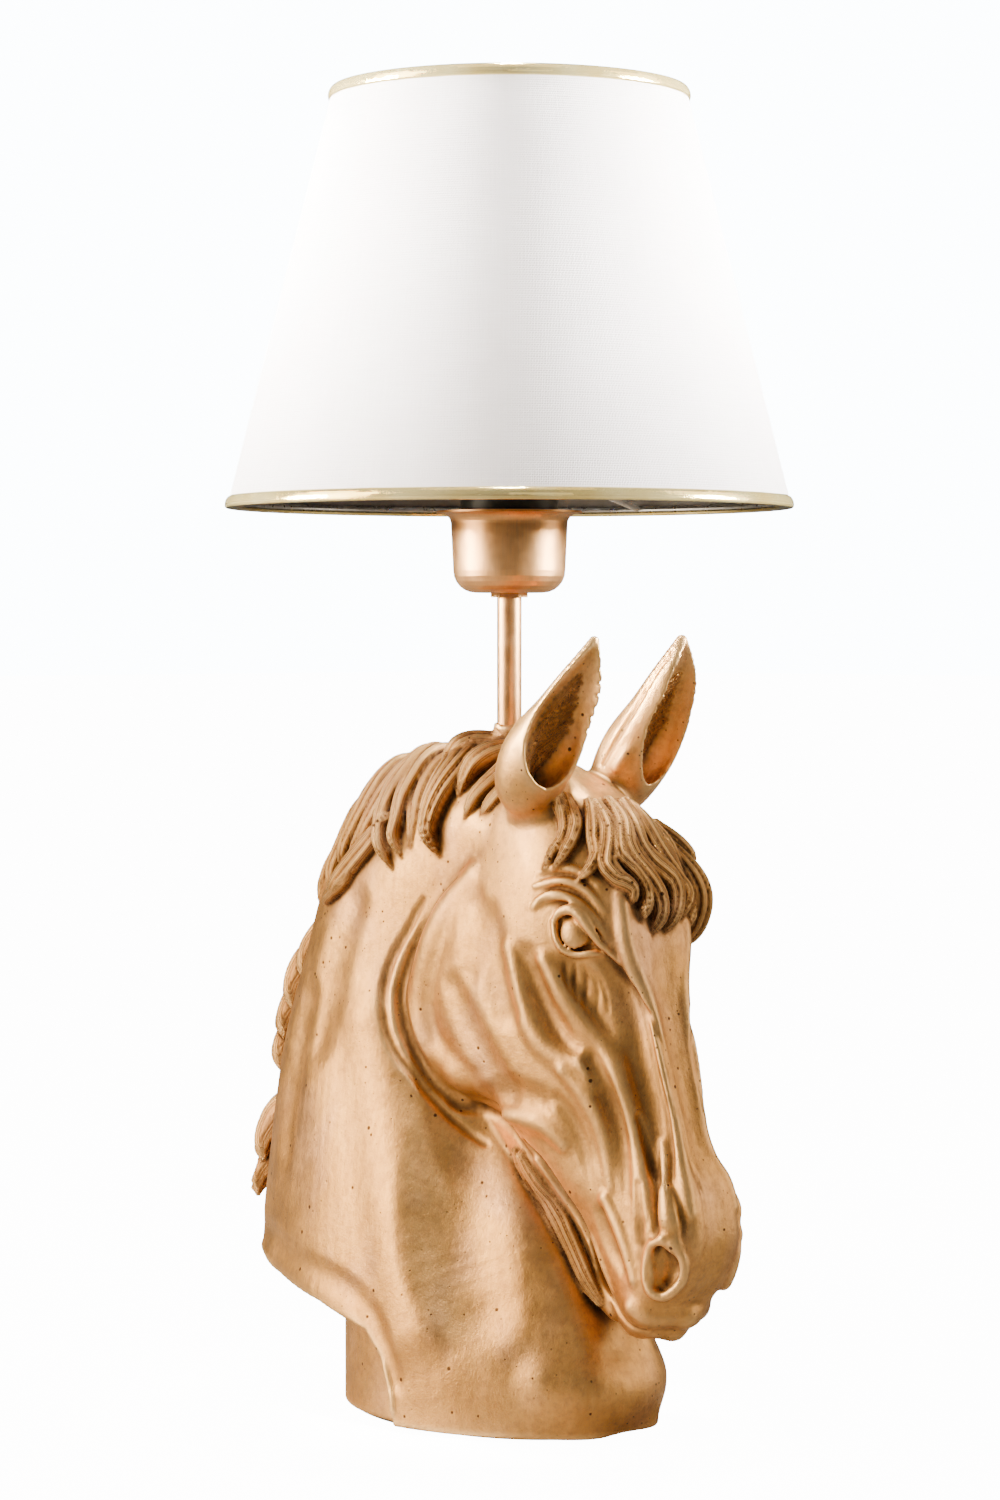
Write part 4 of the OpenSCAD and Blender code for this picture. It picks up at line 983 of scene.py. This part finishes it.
def cloth(name, pitch, low, high, thread, relief, slub=0.16):
    """Plain weave round the shade: threads of the given pitch each way, with slubs along both."""
    p = Paint(name, rough=0.88, Sheen_Weight=0.25, Sheen_Roughness=0.5)
    x, y, z = p.xyz()
    turn = p.times(p.math("ARCTAN2", y, x), 150.0 / pitch)
    rise = p.times(z, 1000.0 / pitch)
    across, along = (p.math("ABSOLUTE", p.math("SINE", p.times(v, math.pi))) for v in (turn, rise))
    over = p.math("COSINE", p.times(p.math("ADD", p.math("FLOOR", turn), p.math("FLOOR", rise)), math.pi))
    warp = p.times(across, p.fit(over, -1, 1, 0.55, 1.0))
    weft = p.times(along, p.fit(over, -1, 1, 1.0, 0.55))
    weave = p.math("MAXIMUM", warp, weft)
    round_ = p.node("CombineXYZ", p.times(turn, 0.04), rise, 0.0).outputs[0]
    up = p.node("CombineXYZ", turn, p.times(rise, 0.03), 5.0).outputs[0]
    slubs = [p.noise(1000.0, 3, 0.6, at=v) for v in (round_, up)]
    col = p.mix(p.fit(p.noise(40, 2), 0.35, 0.7), low, high)
    for s in slubs:
        col = p.mix(p.fit(s, 0.42, 0.70, 0, slub), col, thread)
        col = p.mix(p.fit(s, 0.45, 0.25, 0, slub), col, (0.98, 0.975, 0.96))
    col = p.mix(p.fit(weave, 0.25, 0.8, 0.22, 0), col, thread)
    p.set("Base Color", col)
    p.bump(weave, relief, 0.8)
    p.bump(p.math("ADD", *slubs), relief * 1.3, 0.5)
    return p.m


def gold_trim():
    """Smooth gold foil tape: creases along it, fine scratches and a faint ripple from the wire below."""
    p = Paint("gold_foil", metal=0.75)
    x, y, z = p.xyz()
    turn = p.times(p.math("ARCTAN2", y, x), 0.15)
    flat = p.node("CombineXYZ", turn, z, 0.0).outputs[0]
    ripple = p.noise(9, 3, 0.5, at=p.node("VectorMath", flat, (1, 3, 1), operation="MULTIPLY").outputs[0])
    scratch = p.noise(0.6, 4, 0.7, at=p.node("VectorMath", flat, (0.05, 1, 1), operation="MULTIPLY").outputs[0])
    col = p.mix(p.fit(p.noise(25, 3), 0.35, 0.65), (0.88, 0.64, 0.20), (1.0, 0.82, 0.36))
    col = p.mix(p.fit(scratch, 0.55, 0.75, 0, 0.35), col, (0.55, 0.33, 0.10))
    p.set("Base Color", col)
    p.set("Roughness", p.fit(scratch, 0.35, 0.7, 0.08, 0.18))
    p.bump(ripple, 0.35, 0.5)
    p.bump(scratch, 0.02, 0.5)
    return p.m


def opal():
    """Opal polycarbonate: milky, a soft gloss, faint flow lines."""
    p = Paint("opal_cover", rough=0.35, Subsurface_Weight=0.4, Subsurface_Scale=0.004, Coat_Weight=0.3)
    flow = p.noise(8, 3, 0.5, stretch=(1, 1, 0.25))
    p.set("Base Color", p.ramp(flow, ((0.3, (0.80, 0.80, 0.78)), (0.7, (0.90, 0.90, 0.885)))))
    p.set("Roughness", p.fit(p.noise(3, 3), 0.3, 0.7, 0.30, 0.42))
    p.bump(flow, 0.05, 0.4)
    return p.m


def dress_nodes():
    """A material for every node of the CAD model that is shown."""
    copper = copper_metal()
    steel = metal("steel_plated", (0.50, 0.50, 0.50), (0.66, 0.66, 0.65), 0.30, tarnish=(0.33, 0.30, 0.27))
    brass = metal("brass_turned", (0.66, 0.45, 0.17), (0.80, 0.60, 0.30), 0.28, tarnish=(0.38, 0.24, 0.10))
    plated = metal("cap_plated", (0.62, 0.62, 0.60), (0.76, 0.76, 0.74), 0.22, stretch=(1, 1, 6),
        tarnish=(0.45, 0.42, 0.36))
    aluminium = metal("aluminium_board", (0.60, 0.61, 0.62), (0.74, 0.75, 0.76), 0.35, stretch=(0.1, 1, 1))
    black = moulded("black_moulding", (0.010, 0.013, 0.011), (0.022, 0.027, 0.024), 0.36, coat=0.15,
        marks=(0.05, 0.055, 0.05))
    rubber = moulded("black_bush", (0.012, 0.012, 0.012), (0.03, 0.03, 0.03), 0.62, grain=0.5, relief=0.05)
    enamel = moulded("white_enamel", (0.72, 0.71, 0.68), (0.82, 0.81, 0.78), 0.32, grain=0.9, relief=0.04, coat=0.3)
    # painted shadow: the lining is coloured dark grey to stand in for the shadow inside the lampshade
    lining = moulded("lining_grey_for_shadow", (0.15, 0.145, 0.14), (0.20, 0.195, 0.19), 0.55, grain=0.6, relief=0.05)
    ceramic = moulded("steatite", (0.70, 0.68, 0.62), (0.80, 0.78, 0.73), 0.5, grain=0.25, relief=0.04,
        marks=(0.45, 0.40, 0.32))
    white = moulded("lamp_body", (0.78, 0.78, 0.76), (0.86, 0.86, 0.84), 0.38, grain=0.4, relief=0.03)
    linen = cloth("shade_linen", 0.9, (0.89, 0.815, 0.79), (0.94, 0.87, 0.84), (0.70, 0.62, 0.585), 0.22)
    given = {
        copper: ("stem_tube", "cup_lock_nut", "holder_cup"),
        steel: ("stem_washer", "holder_grub_screw", "terminal_screws", "shade_bottom_wire", "shade_top_wire"),
        brass: ("stem_nut", "terminal_blocks", "centre_contact", "side_contact", "screw_shell"),
        plated: ("lamp_cap", "lamp_tip"),
        aluminium: ("lamp_board",),
        black: ("holder_cap", "holder_skirt", "lower_ring", "shade_ring", "lamp_insulator"),
        rubber: ("lead_bush",),
        enamel: ("shade_fitter",),
        lining: ("shade_backing",),
        ceramic: ("holder_insert",),
        white: ("lamp_housing",),
        linen: ("shade_fabric",),
        gold_trim(): ("trim_bottom", "trim_top"),
        opal(): ("lamp_diffuser",),
        board(): ("base_board",),
        felt(): ("felt_pad",),
    }
    for material, names in given.items():
        for name in names:
            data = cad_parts[name].data
            data.materials.clear()
            data.materials.append(material)


def dress(bust):
    bust.data.materials.clear()
    bust.data.materials.append(copper_cast())


def make_camera():
    """The camera stands in front of the near ear, a little above the middle of the lamp."""
    data = bpy.data.cameras.new("camera")
    data.lens = 91.2
    data.sensor_width = 36.0
    data.sensor_fit = "AUTO"
    data.clip_end = 60.0
    ob = bpy.data.objects.new("camera", data)
    bpy.context.scene.collection.objects.link(ob)
    ob.location = (-1.0882, -1.0882, 0.319)
    down, side = math.radians(1.81), math.radians(44.86)
    ob.rotation_euler = (math.pi / 2 - down, 0, -side)
    bpy.context.scene.camera = ob


def area(name, at, to, size, watts, color=(1, 1, 1)):
    data = bpy.data.lights.new(name, "AREA")
    data.shape = "RECTANGLE"
    data.size, data.size_y = size
    data.energy, data.color = watts, color
    ob = bpy.data.objects.new(name, data)
    bpy.context.scene.collection.objects.link(ob)
    ob.location = at
    ob.rotation_euler = (Vector(to) - Vector(at)).to_track_quat("-Z", "Y").to_euler()
    return ob


def from_view(right, near, up):
    """A point given as metres to the right of, towards and above the foot of the lamp, seen from the camera."""
    s = math.sqrt(0.5)
    return ((right - near) * s, (-right - near) * s, up)


def make_floor():
    r = 20000
    ob = mesh_object("floor", [(-r, -r, 0), (r, -r, 0), (r, r, 0), (-r, r, 0)], [(0, 1, 2, 3)])
    p = Paint("floor_paint", rough=0.9)
    grain = p.noise(30, 3, size=1000)
    p.set("Base Color", p.ramp(grain, ((0.0, (0.52, 0.52, 0.52)), (1.0, (0.60, 0.60, 0.60)))))
    p.set("Emission Color", (1, 1, 1, 1))
    eye = p.node("LightPath").outputs["Is Camera Ray"]
    p.set("Emission Strength", p.times(eye, WHITE - 1.0))
    ob.data.materials.append(p.m)


def make_lights():
    """A large soft light on each side, weaker ones above and in front, two narrow ones on the shade
    and a small one straight down into its open top. The world is white to the camera only."""
    area("key_left", from_view(-1.5, 0.35, 0.60), (0, 0, 0.2), (1.0, 1.8), LEFT, WARM)
    area("key_right", from_view(1.6, -0.05, 0.70), (0, 0, 0.2), (0.9, 1.8), RIGHT, WARM)
    area("top", from_view(0.0, 0.5, 2.0), (0, 0, 0.2), (1.4, 1.0), TOP, WARM)
    area("front", from_view(0.5, 2.2, 1.0), (0, 0, 0.25), (1.0, 1.0), FRONT)
    for side in (-1, 1):
        lamp = area("shade_light", from_view(0.70 * side, 0.05, 0.52), (0, 0, 0.50), (0.3, 0.2), SHADE)
        lamp.data.spread = math.radians(34)
    lamp = area("inside", (0, 0, 1.6), (0, 0, 0.4), (0.1, 0.1), INSIDE)
    lamp.data.spread = math.radians(12)
    w = bpy.data.worlds.new("studio")
    w.use_nodes = True
    nt = w.node_tree
    back = nt.nodes["Background"]
    back.inputs["Color"].default_value = (0.86, 0.94, 1.0, 1)
    path = nt.nodes.new("ShaderNodeLightPath")
    rng = nt.nodes.new("ShaderNodeMapRange")
    rng.inputs["To Min"].default_value = AMBIENT
    rng.inputs["To Max"].default_value = WHITE
    nt.links.new(path.outputs["Is Camera Ray"], rng.inputs["Value"])
    nt.links.new(rng.outputs["Result"], back.inputs["Strength"])
    bpy.context.scene.world = w


WHITE, AMBIENT = 15.0, 0.115
WARM = (1.0, 0.84, 0.62)
LEFT, RIGHT, TOP, FRONT, SHADE, INSIDE = 68, 16, 3, 2, 5.4, 0.35
make_camera()
make_lights()
make_floor()
dress_nodes()
bust = make_horse()
dress(bust)
